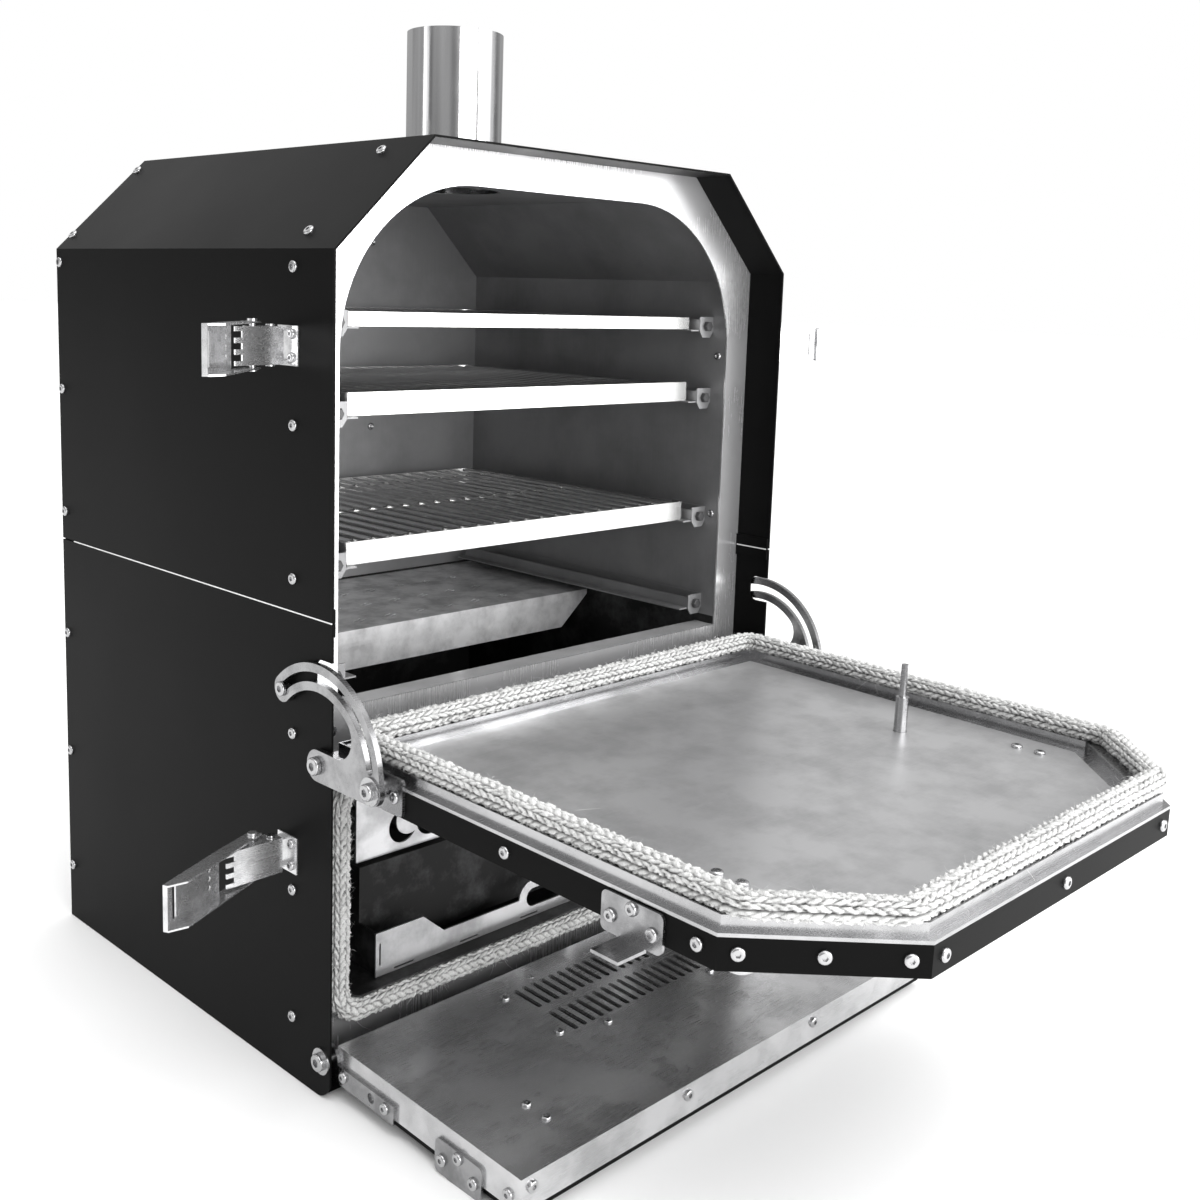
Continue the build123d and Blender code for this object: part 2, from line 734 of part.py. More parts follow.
def arm_plate():
    """Sector arm in reach and height: pivot lobe, straight link, and a slotted arc about the pivot."""
    inner, outer = arm_radius - arm_band / 2, arm_radius + arm_band / 2
    cap = arm_band / 2
    end = stop_angle + upper_droop

    def at(angle, radius=arm_radius):
        return -radius * cos(radians(angle)), radius * sin(radians(angle))

    def sector(angle0, angle1, low, high):
        middle = (angle0 + angle1) / 2
        edge = ThreePointArc(at(angle0, high), at(middle, high), at(angle1, high))
        edge += Line(at(angle1, high), at(angle1, low))
        edge += ThreePointArc(at(angle1, low), at(middle, low), at(angle0, low))
        edge += Line(at(angle0, low), at(angle0, high))
        return make_face(edge)

    shape = sector(0, end, inner, outer) + Pos(*at(0)) * Circle(cap + 1) + Pos(*at(end)) * Circle(cap)
    shape += Circle(14) + polygon([(0, -14), (0, 14), (-arm_radius, 14), (-arm_radius, -cap - 1)])
    shape = offset(offset(shape, arm_corner), -arm_corner)
    r = slot_width / 2
    shape -= sector(slot_start, end, arm_radius - r, arm_radius + r)
    shape -= Pos(*at(slot_start)) * Circle(r)
    shape -= Pos(*at(end)) * Circle(r)
    return shape - Circle(arm_bore) - Pos(*at(0)) * Circle(pin_radius + screw_clear)


def hinge_arms():
    x0 = half + arm_gap
    arm = slab_x(arm_plate(), x0, x0 + arm_sheet)
    return bundle(place_upper(piece) for piece in both(arm))


def hinge_brackets():
    """Plates on the door's sides, with the spacer tubes that reach out to the arms."""
    x0, x1 = door_half + 0.1, door_half + 3.1
    shape = fillet((Pos(-(arm_radius + 5), -4) * Rectangle(36, 32)).vertices(), 4)
    plate = slab_x(shape, x0, x1)
    plate += rod((x1, -arm_radius, 0), (half + arm_gap - 0.1, -arm_radius, 0), spacer_radius)
    plate -= rod((x0 - 1, -arm_radius, 0), (half + 10, -arm_radius, 0), pin_radius + screw_clear)
    plate -= screw_hole((x1, -bracket_screw, -5), (1, 0, 0), 8)
    return bundle(place_upper(piece) for piece in both(plate))


def arm_bolts():
    x0 = half + arm_gap + arm_sheet
    bolt = rod((x0, -arm_radius, 0), (x0 + 1.6, -arm_radius, 0), 12)
    bolt += Pos(x0 + 1.6, -arm_radius, 0) * Rot(0, 90, 0) * hex_head(7.4, 5)
    bolt += rod((door_half + 0.2, -arm_radius, 0), (x0 + 1, -arm_radius, 0), pin_radius)
    return bundle(place_upper(piece) for piece in both(bolt))


def hex_head(radius, tall):
    """Flanged bolt head with a hollow hex socket, standing on the XY plane."""
    head = Pos(0, 0, tall / 2) * fillet(Cylinder(radius, tall).edges().group_by(Axis.Z)[-1], tall * 0.35)
    return head - extrude(Plane.XY.offset(tall - 3) * RegularPolygon(radius * 0.5, 6), amount=4)


def strike_bolts(centre):
    """Height and reach of a strike's three bolts."""
    return [(-16.0, centre - 19.5), (-4.5, centre), (-16.0, centre + 19.5)]


def strike(centre):
    """Plate on the door's right side whose lower tab is folded outward for the latch."""
    x0, x1 = door_half + 0.1, door_half + 0.1 + strike_sheet
    shape = Pos(-centre, 1 - strike_drop / 2) * Rectangle(strike_length, strike_drop)
    shape = fillet(shape.vertices(), 5)
    shape += Pos(-centre, -strike_drop) * Rectangle(tab_width, 2 * strike_sheet)
    plate = slab_x(shape, x0, x1)
    z1 = -strike_drop
    plate += block(x0, half + tab_reach, -centre - tab_width / 2, -centre + tab_width / 2,
                   z1 - strike_sheet, z1)
    for z, reach in strike_bolts(centre):
        plate -= screw_hole((x1, -reach, z), (1, 0, 0), 6)
    return plate


def strike_pair(place, centre):
    return bundle(place(piece) for piece in both(strike(centre)))


def side_screw_solids(centre):
    x = door_half + 0.1 + strike_sheet
    screws = []
    for z, reach in strike_bolts(centre):
        screws += both(button_screw((x, -reach, z), (1, 0, 0), strike_sheet + 3))
    return screws


def upper_door_screws():
    screws = [button_screw(at, out, 3.0) for at, out in upper_band_screws()]
    screws += side_screw_solids(upper_strike)
    screws += both(button_screw((door_half + 3.1, -bracket_screw, -5), (1, 0, 0), 6))
    for x, y in panel_bolts():
        screws.append(button_screw((x, y, panel_level + liner_sheet), (0, 0, 1), 5.0))
    return bundle(place_upper(screw) for screw in screws)


# ---------------------------------------------------------------- handles and thermometer
def handle_foot():
    """Plate under one end of the upper door's bow handle."""
    foot = fillet(Rectangle(26, 48).vertices(), 5)
    return slab_z(Pos(bracket_x, -upper_handle) * foot, -door_out - foot_sheet - 0.1, -door_out - 0.1)


def upper_door_handle():
    """Bow handle: round bar that rises from both feet and bends into a straight grip."""
    y, base = -upper_handle, -door_out - foot_sheet - 0.1
    far = base - handle_stand
    path = FilletPolyline((-bracket_x, y, base), (-bracket_x, y, far), (bracket_x, y, far),
                          (bracket_x, y, base),
                          radius=handle_bend)
    section = Plane(origin=path @ 0, z_dir=path % 0) * Circle(handle_radius)
    return place_upper(sweep(section, path=path))


def upper_handle_feet():
    return bundle(place_upper(piece) for piece in both(handle_foot()))


def on_dial(shape):
    """Puts a piece built upward from XY onto the door's outside at the thermometer."""
    return place_upper(Pos(dial_x, -dial_reach, -door_out - 0.1) * Rot(180, 0, 0) * shape)


dial_deep = 12.0


def thermometer_case():
    cup = Pos(0, 0, dial_deep / 2) * fillet(Cylinder(dial_radius, dial_deep).edges(), 2)
    cup -= Pos(0, 0, 2 + dial_deep / 2) * Cylinder(dial_radius - 3, dial_deep)
    return on_dial(cup - Pos(0, 0, 1) * Cylinder(stem_radius + 0.2, 4))


def thermometer_face():
    disc = Pos(0, 0, 3.5) * Cylinder(dial_radius - 3.3, 1)
    return on_dial(disc - Pos(0, 0, 3.5) * Cylinder(1.6, 3))


def thermometer_glass():
    return on_dial(Pos(0, 0, dial_deep - 2) * Cylinder(dial_radius - 3.2, 2))


def thermometer_pointer():
    outline = polygon([(-1.6, -7), (1.6, -7), (0.5, dial_radius - 8), (-0.5, dial_radius - 8)])
    needle = slab_z(outline, 5.2, 6.0)
    hub = Pos(0, 0, 5.9) * Cylinder(3.2, 2.2)
    return on_dial(Rot(0, 0, 140) * (needle + hub))


def thermometer_stem():
    """Sheath through the door with the thinner probe beyond it, reaching into the oven."""
    base = panel_level + liner_sheet
    x, y = dial_x, -dial_reach
    sheath = rod((x, y, -door_out - 0.1), (x, y, base + 34), stem_radius)
    return place_upper(sheath + rod((x, y, base + 33), (x, y, base + 66), probe_radius))


# ---------------------------------------------------------------- lower door
def lower_outline():
    return polygon([(-door_half, -lower_start), (door_half, -lower_start), (door_half, -lower_reach),
                    (-door_half, -lower_reach)])


def vent_slots(z0, z1, grow=0.0):
    """Two rows of upright air slots in the lower door."""
    slots = []
    for u0, u1 in vent_rows:
        slot = Rot(0, 0, 90) * SlotOverall(u1 - u0 + 2 * grow, vent_width + 2 * grow)
        for k in range(vent_count):
            slots.append(Pos((k - (vent_count - 1) / 2) * vent_pitch, -(u0 + u1) / 2) * slot)
    return slab_z(Sketch() + slots, z0, z1)


def lower_edge_screws():
    """Screws in the lower door's sides, in its hinge plates and along its far edge."""
    found = [((side * door_half, -236.0, -5.0), (side, 0, 0)) for side in (-1, 1)]
    for side in (-1, 1):
        found += [((side * (door_half + 3.1), -reach, -8.5), (side, 0, 0)) for reach in plate_screws]
    return found + [((x, -lower_reach, 4.0), (0, -1, 0)) for x in (-277.0, -92.0, 92.0, 277.0)]


def lower_door_liner():
    """Stainless inner pan with folded-down edges and two rows of air slots."""
    outline = lower_outline()
    t = pan_sheet
    pan = slab_z(outline, -door_out + 6, lower_inside)
    pan -= slab_z(inset(outline, t), -door_out, lower_inside - t)
    pan -= vent_slots(lower_inside - t - 1, lower_inside + 1)
    for at, out in lower_edge_screws():
        pan -= screw_hole(at, out, 9)
    for z, reach in strike_bolts(lower_strike):
        for side in (-1, 1):
            pan -= screw_hole((side * door_half, -reach, z), (side, 0, 0), 6)
    for x, y in lower_face_bolts():
        pan -= rod((x, y, 0), (x, y, lower_inside + 1), shank_radius + screw_clear)
    return place_lower(pan)


def pocket(grow=0.0):
    return Pos(0, -lower_handle) * Rectangle(2 * (pocket_half + grow), pocket_width + 2 * grow)


def lower_door_pan():
    """Black outer pan, inside the folded edges of the liner, with its air slots and the handle's opening."""
    outline = inset(lower_outline(), pan_sheet + gap)
    t = pan_sheet
    pan = slab_z(outline, -door_out, -door_out + 12)
    pan -= slab_z(inset(outline, t), -door_out + t, -door_out + 13)
    pan -= vent_slots(-door_out - 1, -door_out + t + 1, 1.0)
    pan -= slab_z(pocket(gap), -door_out - 1, -door_out + t + 1)
    for z, reach in strike_bolts(lower_strike):
        for side in (-1, 1):
            pan -= screw_hole((side * door_half, -reach, z), (side, 0, 0), 9)
    for side in (-1, 1):
        for reach in plate_screws:
            pan -= screw_hole((side * door_half, -reach, -8.5), (side, 0, 0), 9)
    return place_lower(pan)


def lower_handle_tray():
    """Recessed tray behind the handle bar, screwed to the inner pan at its ends."""
    t = pan_sheet
    floor_z = -door_out + pocket_depth
    tray = slab_z(pocket(), -door_out, floor_z) - slab_z(inset(pocket(), t), -door_out - 1, floor_z - t)
    for side in (-1, 1):
        x = side * (pocket_half - 10)
        tray += slab_z(Pos(x, -lower_handle) * Rectangle(18, 40), floor_z - 0.5, lower_inside - t - 0.1)
    for x, y in handle_bolts():
        tray -= rod((x, y, -door_out), (x, y, lower_inside + 1), shank_radius + screw_clear)
    return place_lower(tray)


def lower_door_handle():
    """Grip bar across the tray, held by a foot at each end."""
    z = -door_out + 1.5
    inside = pocket_half - pan_sheet
    return place_lower(rod((-inside + 0.1, -lower_handle, z), (inside - 0.1, -lower_handle, z),
                           pocket_bar / 2))


def lower_damper():
    """Slotted plate that slides sideways under the air slots to open or close them."""
    u0, u1 = vent_rows[0][0] - damper_margin, vent_rows[-1][1] + damper_margin
    z1 = lower_inside - pan_sheet - 0.5
    plate = block(-damper_half, damper_half, -u1, -u0, z1 - pan_sheet, z1)
    plate -= vent_slots(z1 - 3, z1 + 1)
    plate += block(-6, 6, -u1 - 20, -u1 + 1, z1 - pan_sheet, z1)
    return place_lower(plate + block(-6, 6, -u1 - 20, -u1 - 18, z1 - 14, z1))


def damper_guides():
    """Folded strips under the inner face that the damper slides in, with legs that reach its end bolts."""
    solids = []
    level = lower_inside - pan_sheet - 0.1
    edges = ((1, -vent_rows[0][0] + damper_margin + gap), (-1, -vent_rows[-1][1] - damper_margin - gap))
    for sign, edge in edges:
        a, b = sorted((edge, edge + sign * 10))
        guide = block(-127, 127, a, b, level - 2.4, level)
        c, d = sorted((edge - sign * 2.5, edge + sign * 10))
        guide += block(-127, 127, c, d, level - 4, level - 2.4)
        for side in (-1, 1):
            x0, x1 = sorted((side * (damper_half + damper_travel + gap), side * 127))
            e, f = sorted((edge + sign * 10, edge - sign * 20))
            guide += block(x0, x1, e, f, level - 4, level)
        if sign < 0:
            tongue = 6 + damper_travel + 2
            guide -= block(-tongue, tongue, c - 1, d + 1, level - 6, level + 1)
        for x, y in vent_bolts():
            guide -= rod((x, y, level - 9), (x, y, level + 1), shank_radius + screw_clear)
        solids += [place_lower(solid) for solid in guide.solids()]
    return bundle(solids)


def handle_bolts():
    reaches = (lower_handle - 12, lower_handle + 12)
    return [(side * bracket_x, -reach) for side in (-1, 1) for reach in reaches]


def vent_bolts():
    corners = [(side * 121.5, -reach) for side in (-1, 1) for reach in (43.0, 118.0)]
    return corners + [(side * 74.0, -reach) for side in (-1, 1) for reach in (27.0, 134.0)]


def lower_face_bolts():
    return handle_bolts() + vent_bolts()


def lower_door_screws():
    screws = [button_screw(at, out, 6.5) for at, out in lower_edge_screws()]
    screws += side_screw_solids(lower_strike)
    for x, y in lower_face_bolts():
        tall = flush_height if -y < vent_rows[0][0] else head_height
        screws.append(button_screw((x, y, lower_inside), (0, 0, 1), 6.0, small_head, tall))
    return bundle(place_lower(screw) for screw in screws)


def lower_hinge_plates():
    """Cheek plates on the door's sides that carry the hinge bushes."""
    x0, x1 = door_half + 0.1, door_half + 3.1
    shape = Circle(13) + Pos(-plate_reach / 2, -10) * Rectangle(plate_reach, 17)
    shape -= Circle(arm_bore) + Pos(-62, -9) * Circle(4.5)
    plate = slab_x(shape, x0, x1)
    for reach in plate_screws:
        plate -= screw_hole((x1, -reach, -8.5), (1, 0, 0), 6)
    return bundle(place_lower(piece) for piece in both(plate))


# ---------------------------------------------------------------- pins and studs on the cabinet
def hinge_pins():
    """Bolts through the side panels: the upper door's arms turn on the upper pair, the lower door on the
    lower pair, and the arc slots run over the studs, which stop the open arms."""
    solids = []
    outer = half + arm_gap + arm_sheet
    y, z = hinge_y, upper_hinge_height
    pin = rod((half - 8, y, z), (outer + 1, y, z), pin_radius)
    pin += rod((half + 0.1, y, z), (half + arm_gap - 0.1, y, z), 9)
    pin += Pos(outer + 0.3, y, z) * Rot(0, 90, 0) * hex_head(8, 5)
    solids += both(pin)
    z = lower_hinge_height
    low = rod((door_half - 4, y, z), (half + 2, y, z), pin_radius)
    low += rod((half + 0.1, y, z), (half + 2, y, z), 12)
    low += Pos(half + 2, y, z) * Rot(0, 90, 0) * hex_head(8, 5)
    solids += both(low)
    y, z = stop_point()
    stud = rod((half - 6, y, z), (outer + 1, y, z), pin_radius)
    stud += Pos(outer + 0.4, y, z) * Rot(0, 90, 0) * hex_head(6.5, 3)
    return bundle(solids + both(stud))


def jacket_screws():
    screws = [button_screw(at, out, jacket_sheet + 3) for at, out in jacket_fasteners()]
    screws += [button_screw(at, out, 5, small_head) for at, out in collar_screws()]
    screws += [button_screw((x, plate_y, z), (0, -1, 0), 4.0, tall=flush_height) for x, z in sill_screws]
    return bundle(screws)


# ---------------------------------------------------------------- latches
latch_places = {
    "upper_left": (-1, upper_hinge_height + upper_strike, 14.0, 44.0),
    "upper_right": (1, upper_hinge_height + upper_strike, 0.0, 14.0),
    "lower_left": (-1, lower_hinge_height + lower_strike, 0.0, 26.0),
    "lower_right": (1, lower_hinge_height + lower_strike, 0.0, 26.0),
}


def latch_base(height):
    """Base plate on the right side panel with two ears for the lever's pin."""
    x0, y = half + 0.1, front + latch_setback
    pivot_y, pivot_x = front + lever_pivot_back, half + lever_pivot_out
    base = block(x0, x0 + latch_sheet, y - 8, pivot_y + 8, height - latch_half, height + latch_half)
    ear = Pos(pivot_x, pivot_y) * Circle(5.5)
    ear += Pos((x0 + pivot_x) / 2, pivot_y) * Rectangle(pivot_x - x0, 11)
    ear -= Pos(pivot_x, pivot_y) * Circle(latch_pin)
    for low in (height - 13.8, height + 12.3):
        base += slab_z(ear, low, low + latch_sheet)
    for end in (-1, 1):
        base -= screw_hole((x0 + 3, y, height + end * 10), (1, 0, 0), 6)
    return base


def latch_bases():
    solids = []
    for side, height, _, _ in latch_places.values():
        base = latch_base(height)
        solids.append(base if side > 0 else mirror(base, about=Plane.YZ))
    return bundle(solids)


def latch_hardware():
    """Lever pins and base screws of all four latches."""
    solids = []
    x0, y = half + 0.1 + latch_sheet, front + latch_setback
    px, py = half + lever_pivot_out, front + lever_pivot_back
    for side, height, _, _ in latch_places.values():
        pin = rod((px, py, height - 17.4), (px, py, height + 17.4), latch_pin)
        for low in (height - 17.8, height + 16.4):
            pin += rod((px, py, low), (px, py, low + 1.4), latch_pin + 1.5)
        pieces = [pin]
        pieces += [button_screw((x0, y, height + end * 10), (1, 0, 0), 5, small_head) for end in (-1, 1)]
        solids += pieces if side > 0 else [mirror(piece, about=Plane.YZ) for piece in pieces]
    return bundle(solids)


def lever_shape():
    """Finger lever in its own frame: X along it, Y to its back, pivot at the origin."""
    t = latch_sheet
    web = block(-6, lever_length, -lever_web, -lever_web + t, -lever_half, lever_half)
    for z in (-9.5, 0, 9.5):
        web -= block(lever_length - 8, lever_length + 1, -lever_web - 1, -lever_web + t + 1,
                     z - 2.6, z + 2.6)
    flange = polygon([(-6, -lever_web), (34, -lever_web), (30, -3),
                      (link_offset_along + 7, link_offset_back + 4),
                      (link_offset_along - 4, link_offset_back + 5), (-6, 5)])
    flange -= Circle(latch_pin + pin_clear) + Pos(link_offset_along, link_offset_back) * Circle(latch_pin)
    for low in (-lever_half, lever_half - t):
        web += slab_z(flange, low, low + t)
    pin = Pos(link_offset_along, link_offset_back, 0) * Cylinder(latch_pin, 2 * link_half + 1)
    for end in (-1, 1):
        head = Cylinder(latch_pin + 1.7, 1.8)
        pin += Pos(link_offset_along, link_offset_back, end * (link_half + 1.1)) * head
    return web + pin


def closed_link_reach():
    """Distance from the draw link's pin to its slot when the closed link holds the strike's tab."""
    pin_back = lever_pivot_back + link_offset_along
    tab_back = hinge_setback - strike_drop - strike_sheet / 2
    return pin_back - tab_back


def link_shape():
    """Draw link in its own frame: X along it, Y to its back, its pin at the origin."""
    t = latch_sheet
    slot_at = closed_link_reach()
    end = slot_at + link_end_margin
    web = block(42, end, link_web - t, link_web, -link_half, link_half)
    web -= block(slot_at - link_slot / 2, slot_at + link_slot / 2, 0, link_web + 1,
                 -tab_width / 2 - 1, tab_width / 2 + 1)
    for z in (-8, 0, 8):
        web -= rod((57, 0, z), (57, link_web + 1, z), 2.3)
    web += block(end - 1.2, end, link_web - 4.5, link_web, -link_half, link_half)
    flange = polygon([(-6, -6), (10, -6.5), (end - 14, -6.5), (end, link_web - 5), (end, link_web),
                      (42, link_web),
                      (10, 6.5), (-6, 6)])
    flange -= Circle(latch_pin + pin_clear)
    for low in (-link_half, link_half - t):
        web += slab_z(flange, low, low + t)
    return web



def place_latch(shape, side, pivot, turned):
    """Turns a right-hand latch piece toward the front, mirrors it for the left side and moves it."""
    piece = Rot(0, 0, -turned) * shape
    if side < 0:
        piece = mirror(piece, about=Plane.YZ)
    return Pos(*pivot) * piece


def latch_pivots(name):
    """World positions of the lever's pin and the draw link's pin at rest."""
    side, height, lever_turn, _ = latch_places[name]
    a = radians(-lever_turn)
    x = lever_pivot_out + link_offset_along * cos(a) - link_offset_back * sin(a)
    y = lever_pivot_back + link_offset_along * sin(a) + link_offset_back * cos(a)
    lever = (side * (half + lever_pivot_out), front + lever_pivot_back, height)
    return lever, (side * (half + x), front + y, height)


def latch_lever(name):
    side, _, lever_turn, _ = latch_places[name]
    return place_latch(lever_shape(), side, latch_pivots(name)[0], lever_turn)


def latch_link(name):
    side, _, _, link_turn = latch_places[name]
    return place_latch(link_shape(), side, latch_pivots(name)[1], link_turn)


# ---------------------------------------------------------------- write every node
def nodes():
    made = {
        "upper_jacket": upper_jacket(),
        "lower_jacket": lower_jacket(),
        "seam_strip": seam_strip(),
        "back_panel": back_panel(),
        "front_plate": front_plate(),
        "upper_liner": upper_liner(),
        "firebox_liner": firebox_liner(),
        "sill_channel": sill_channel(),
        "insulation_blanket": insulation_blanket(),
        "flue_stub": flue_stub(),
        "flue_collar": flue_collar(),
        "shelf_rails_left": shelf_rails(-1),
        "shelf_rails_right": shelf_rails(1),
        "jacket_screws": jacket_screws(),
        "firebox_gasket": firebox_gasket(),
        "latch_bases": latch_bases(),
        "latch_hardware": latch_hardware(),
        "hinge_pins": hinge_pins(),
        "fire_guard": fire_guard(),
        "heat_baffle": baffle(),
        "rack_top": rack(0),
        "rack_middle": rack(1),
        "rack_bottom": rack(2),
        "basket_front": basket_front_plate(),
        "basket_box": basket_box(),
        "fire_grate": fire_grate(),
        "upper_door_pan": upper_door_pan(),
        "upper_door_frame": upper_door_frame(),
        "upper_door_panel": upper_door_panel(),
        "upper_door_insulation": upper_door_insulation(),
        "upper_door_gasket": upper_door_gasket(),
        "upper_door_handle": upper_door_handle(),
        "upper_handle_feet": upper_handle_feet(),
        "upper_door_strikes": strike_pair(place_upper, upper_strike),
        "upper_door_screws": upper_door_screws(),
        "hinge_arms": hinge_arms(),
        "hinge_brackets": hinge_brackets(),
        "arm_bolts": arm_bolts(),
        "thermometer_case": thermometer_case(),
        "thermometer_face": thermometer_face(),
        "thermometer_glass": thermometer_glass(),
        "thermometer_pointer": thermometer_pointer(),
        "thermometer_stem": thermometer_stem(),
        "lower_door_liner": lower_door_liner(),
        "lower_door_pan": lower_door_pan(),
        "lower_damper": lower_damper(),
        "damper_guides": damper_guides(),
        "lower_door_handle": lower_door_handle(),
        "lower_handle_tray": lower_handle_tray(),
        "lower_door_strikes": strike_pair(place_lower, lower_strike),
        "lower_door_screws": lower_door_screws(),
        "lower_hinge_plates": lower_hinge_plates(),
    }
    for name in latch_places:
        made["latch_lever_" + name] = latch_lever(name)
        made["latch_link_" + name] = latch_link(name)
    return made


os.makedirs("parts", exist_ok=True)
for node_name, node_shape in nodes().items():
    export_step(node_shape, os.path.join("parts", node_name + ".step"))
for latch_name in latch_places:
    print(latch_name, [tuple(round(v, 2) for v in point) for point in latch_pivots(latch_name)])
print("upper hinge", hinge_y, upper_hinge_height, "lower hinge", hinge_y, lower_hinge_height)
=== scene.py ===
from math import cos, radians, sin

import bmesh
import bpy
import numpy as np
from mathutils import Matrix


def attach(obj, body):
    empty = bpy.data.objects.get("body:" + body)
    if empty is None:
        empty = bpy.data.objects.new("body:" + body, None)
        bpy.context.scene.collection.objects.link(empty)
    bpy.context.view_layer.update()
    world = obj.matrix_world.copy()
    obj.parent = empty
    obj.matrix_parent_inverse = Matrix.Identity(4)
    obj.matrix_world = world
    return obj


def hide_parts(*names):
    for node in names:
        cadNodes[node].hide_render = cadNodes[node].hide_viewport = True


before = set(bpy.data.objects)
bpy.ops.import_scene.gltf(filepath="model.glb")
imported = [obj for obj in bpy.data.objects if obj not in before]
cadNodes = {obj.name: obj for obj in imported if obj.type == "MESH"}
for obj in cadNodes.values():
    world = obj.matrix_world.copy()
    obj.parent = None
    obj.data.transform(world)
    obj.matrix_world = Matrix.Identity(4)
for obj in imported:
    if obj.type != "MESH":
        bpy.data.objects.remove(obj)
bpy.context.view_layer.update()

scene = bpy.context.scene
mm = 0.001

# The cabinet's own places, in metres: both hinge lines, and how far each open door hangs below level.
hinges = {
    "lineY": -0.2405,
    "upperZ": 0.309,
    "upperDroop": radians(1.0),
    "lowerZ": 0.035,
    "lowerDroop": radians(2.0),
    "plateFace": -0.207,
}


def linear(hexColour):
    # each sRGB channel through the standard curve: straight near black, then a power of 2.4
    channels = np.array([int(hexColour[i:i + 2], 16) for i in (1, 3, 5)]) / 255
    curve = np.where(channels <= 0.04045, channels / 12.92, ((channels + 0.055) / 1.055) ** 2.4)
    return (*(float(c) for c in curve), 1.0)


def addNode(tree, kind, inputs=None, **settings):
    node = tree.nodes.new(kind)
    for name, value in settings.items():
        setattr(node, name, value)
    for key, value in (inputs or {}).items():
        if isinstance(value, bpy.types.NodeSocket):
            tree.links.new(value, node.inputs[key])
        else:
            node.inputs[key].default_value = value
    return node


def newMaterial(name):
    material = bpy.data.materials.new(name)
    material.use_nodes = True
    tree = material.node_tree
    tree.nodes.clear()
    output = addNode(tree, "ShaderNodeOutputMaterial")
    shader = addNode(tree, "ShaderNodeBsdfPrincipled")
    tree.links.new(shader.outputs["BSDF"], output.inputs["Surface"])
    return material, tree, shader


# ---- coated and bare metal
coat = {
    "colour": "#0a0a0a",
    "warmer": "#0e0e0e",
    "roughness": 0.42,
    "gloss": 0.05,        # the matting agent leaves little of it
    "peelMm": 1.6,        # orange peel of a baked powder coat
    "peelDepthMm": 0.08,  # drawn eight times its real depth, so that it shows
    "cloudMm": 160.0,
}


def powderCoat():
    # polyester powder coat, sprayed and baked: satin black with a fine orange peel and no metal showing
    material, tree, shader = newMaterial("satinPowderCoat")
    place = addNode(tree, "ShaderNodeTexCoord").outputs["Object"]
    cloud = addNode(tree, "ShaderNodeTexNoise", {"Vector": place, "Scale": 1000 / coat["cloudMm"], "Detail": 3.0})
    colour = addNode(tree, "ShaderNodeMix", {"Factor": cloud.outputs["Fac"], "A": linear(coat["colour"]),
                                             "B": linear(coat["warmer"])}, data_type="RGBA")
    peel = addNode(tree, "ShaderNodeTexNoise", {"Vector": place, "Scale": 1000 / coat["peelMm"], "Detail": 1.0})
    bump = addNode(tree, "ShaderNodeBump", {"Height": peel.outputs["Fac"], "Strength": 0.5,
                                            "Distance": coat["peelDepthMm"] * mm})
    rough = addNode(tree, "ShaderNodeMapRange", {"Value": cloud.outputs["Fac"], "To Min": coat["roughness"] - 0.05,
                                                 "To Max": coat["roughness"] + 0.06})
    tree.links.new(colour.outputs["Result"], shader.inputs["Base Color"])
    tree.links.new(rough.outputs["Result"], shader.inputs["Roughness"])
    tree.links.new(bump.outputs["Normal"], shader.inputs["Normal"])
    shader.inputs["IOR"].default_value = 1.45
    shader.inputs["Specular IOR Level"].default_value = coat["gloss"]
    return material


grainLengths = 60   # a brushed scratch's length in grain pitches
sheetFinishes = {
    # name: colour, darker colour, roughness, grain axis, grain pitch in mm, cloud size in mm, grain depth in mm,
    # and how metallic: a bright-annealed or heat-dulled sheet scatters part of the light
    "brushedPlate": ("#d6d6d7", "#c0c0c1", 0.24, 2, 0.9, 110.0, 0.002, 0.72),
    "brushedPanel": ("#c2c2c3", "#a6a6a7", 0.37, 0, 0.9, 55.0, 0.006, 0.75),
    "brushedDoor": ("#d2d2d3", "#adadae", 0.24, 0, 0.35, 60.0, 0.001, 0.84),
    "doorFrame": ("#b4b4b5", "#9b9b9c", 0.26, 0, 0.8, 90.0, 0.006, 1.0),
    "polishedTrim": ("#ececed", "#d2d2d3", 0.16, 0, 0.7, 60.0, 0.002, 0.60),
    "guardSheet": ("#bcbcbd", "#9c9c9d", 0.34, 0, 0.9, 35.0, 0.008, 0.9),
    "armSteel": ("#a0a0a1", "#808081", 0.26, 0, 0.6, 30.0, 0.004, 1.0),
    "latchSteel": ("#e0e0e1", "#b9b9ba", 0.24, 0, 0.6, 20.0, 0.004, 0.88),
    # flueTube: its darker colour is the colour of the painted reflection bands
    "flueTube": ("#e4e4e5", "#a2a2a3", 0.12, 2, 16.0, 90.0, 0.003, 1.0),
    "linerSheet": ("#8f8f90", "#7f7f80", 0.46, 2, 1.2, 120.0, 0.004, 0.62),
    "baffleSheet": ("#f2f2f3", "#b9b9ba", 0.38, 0, 1.0, 34.0, 0.010, 0.6),
}


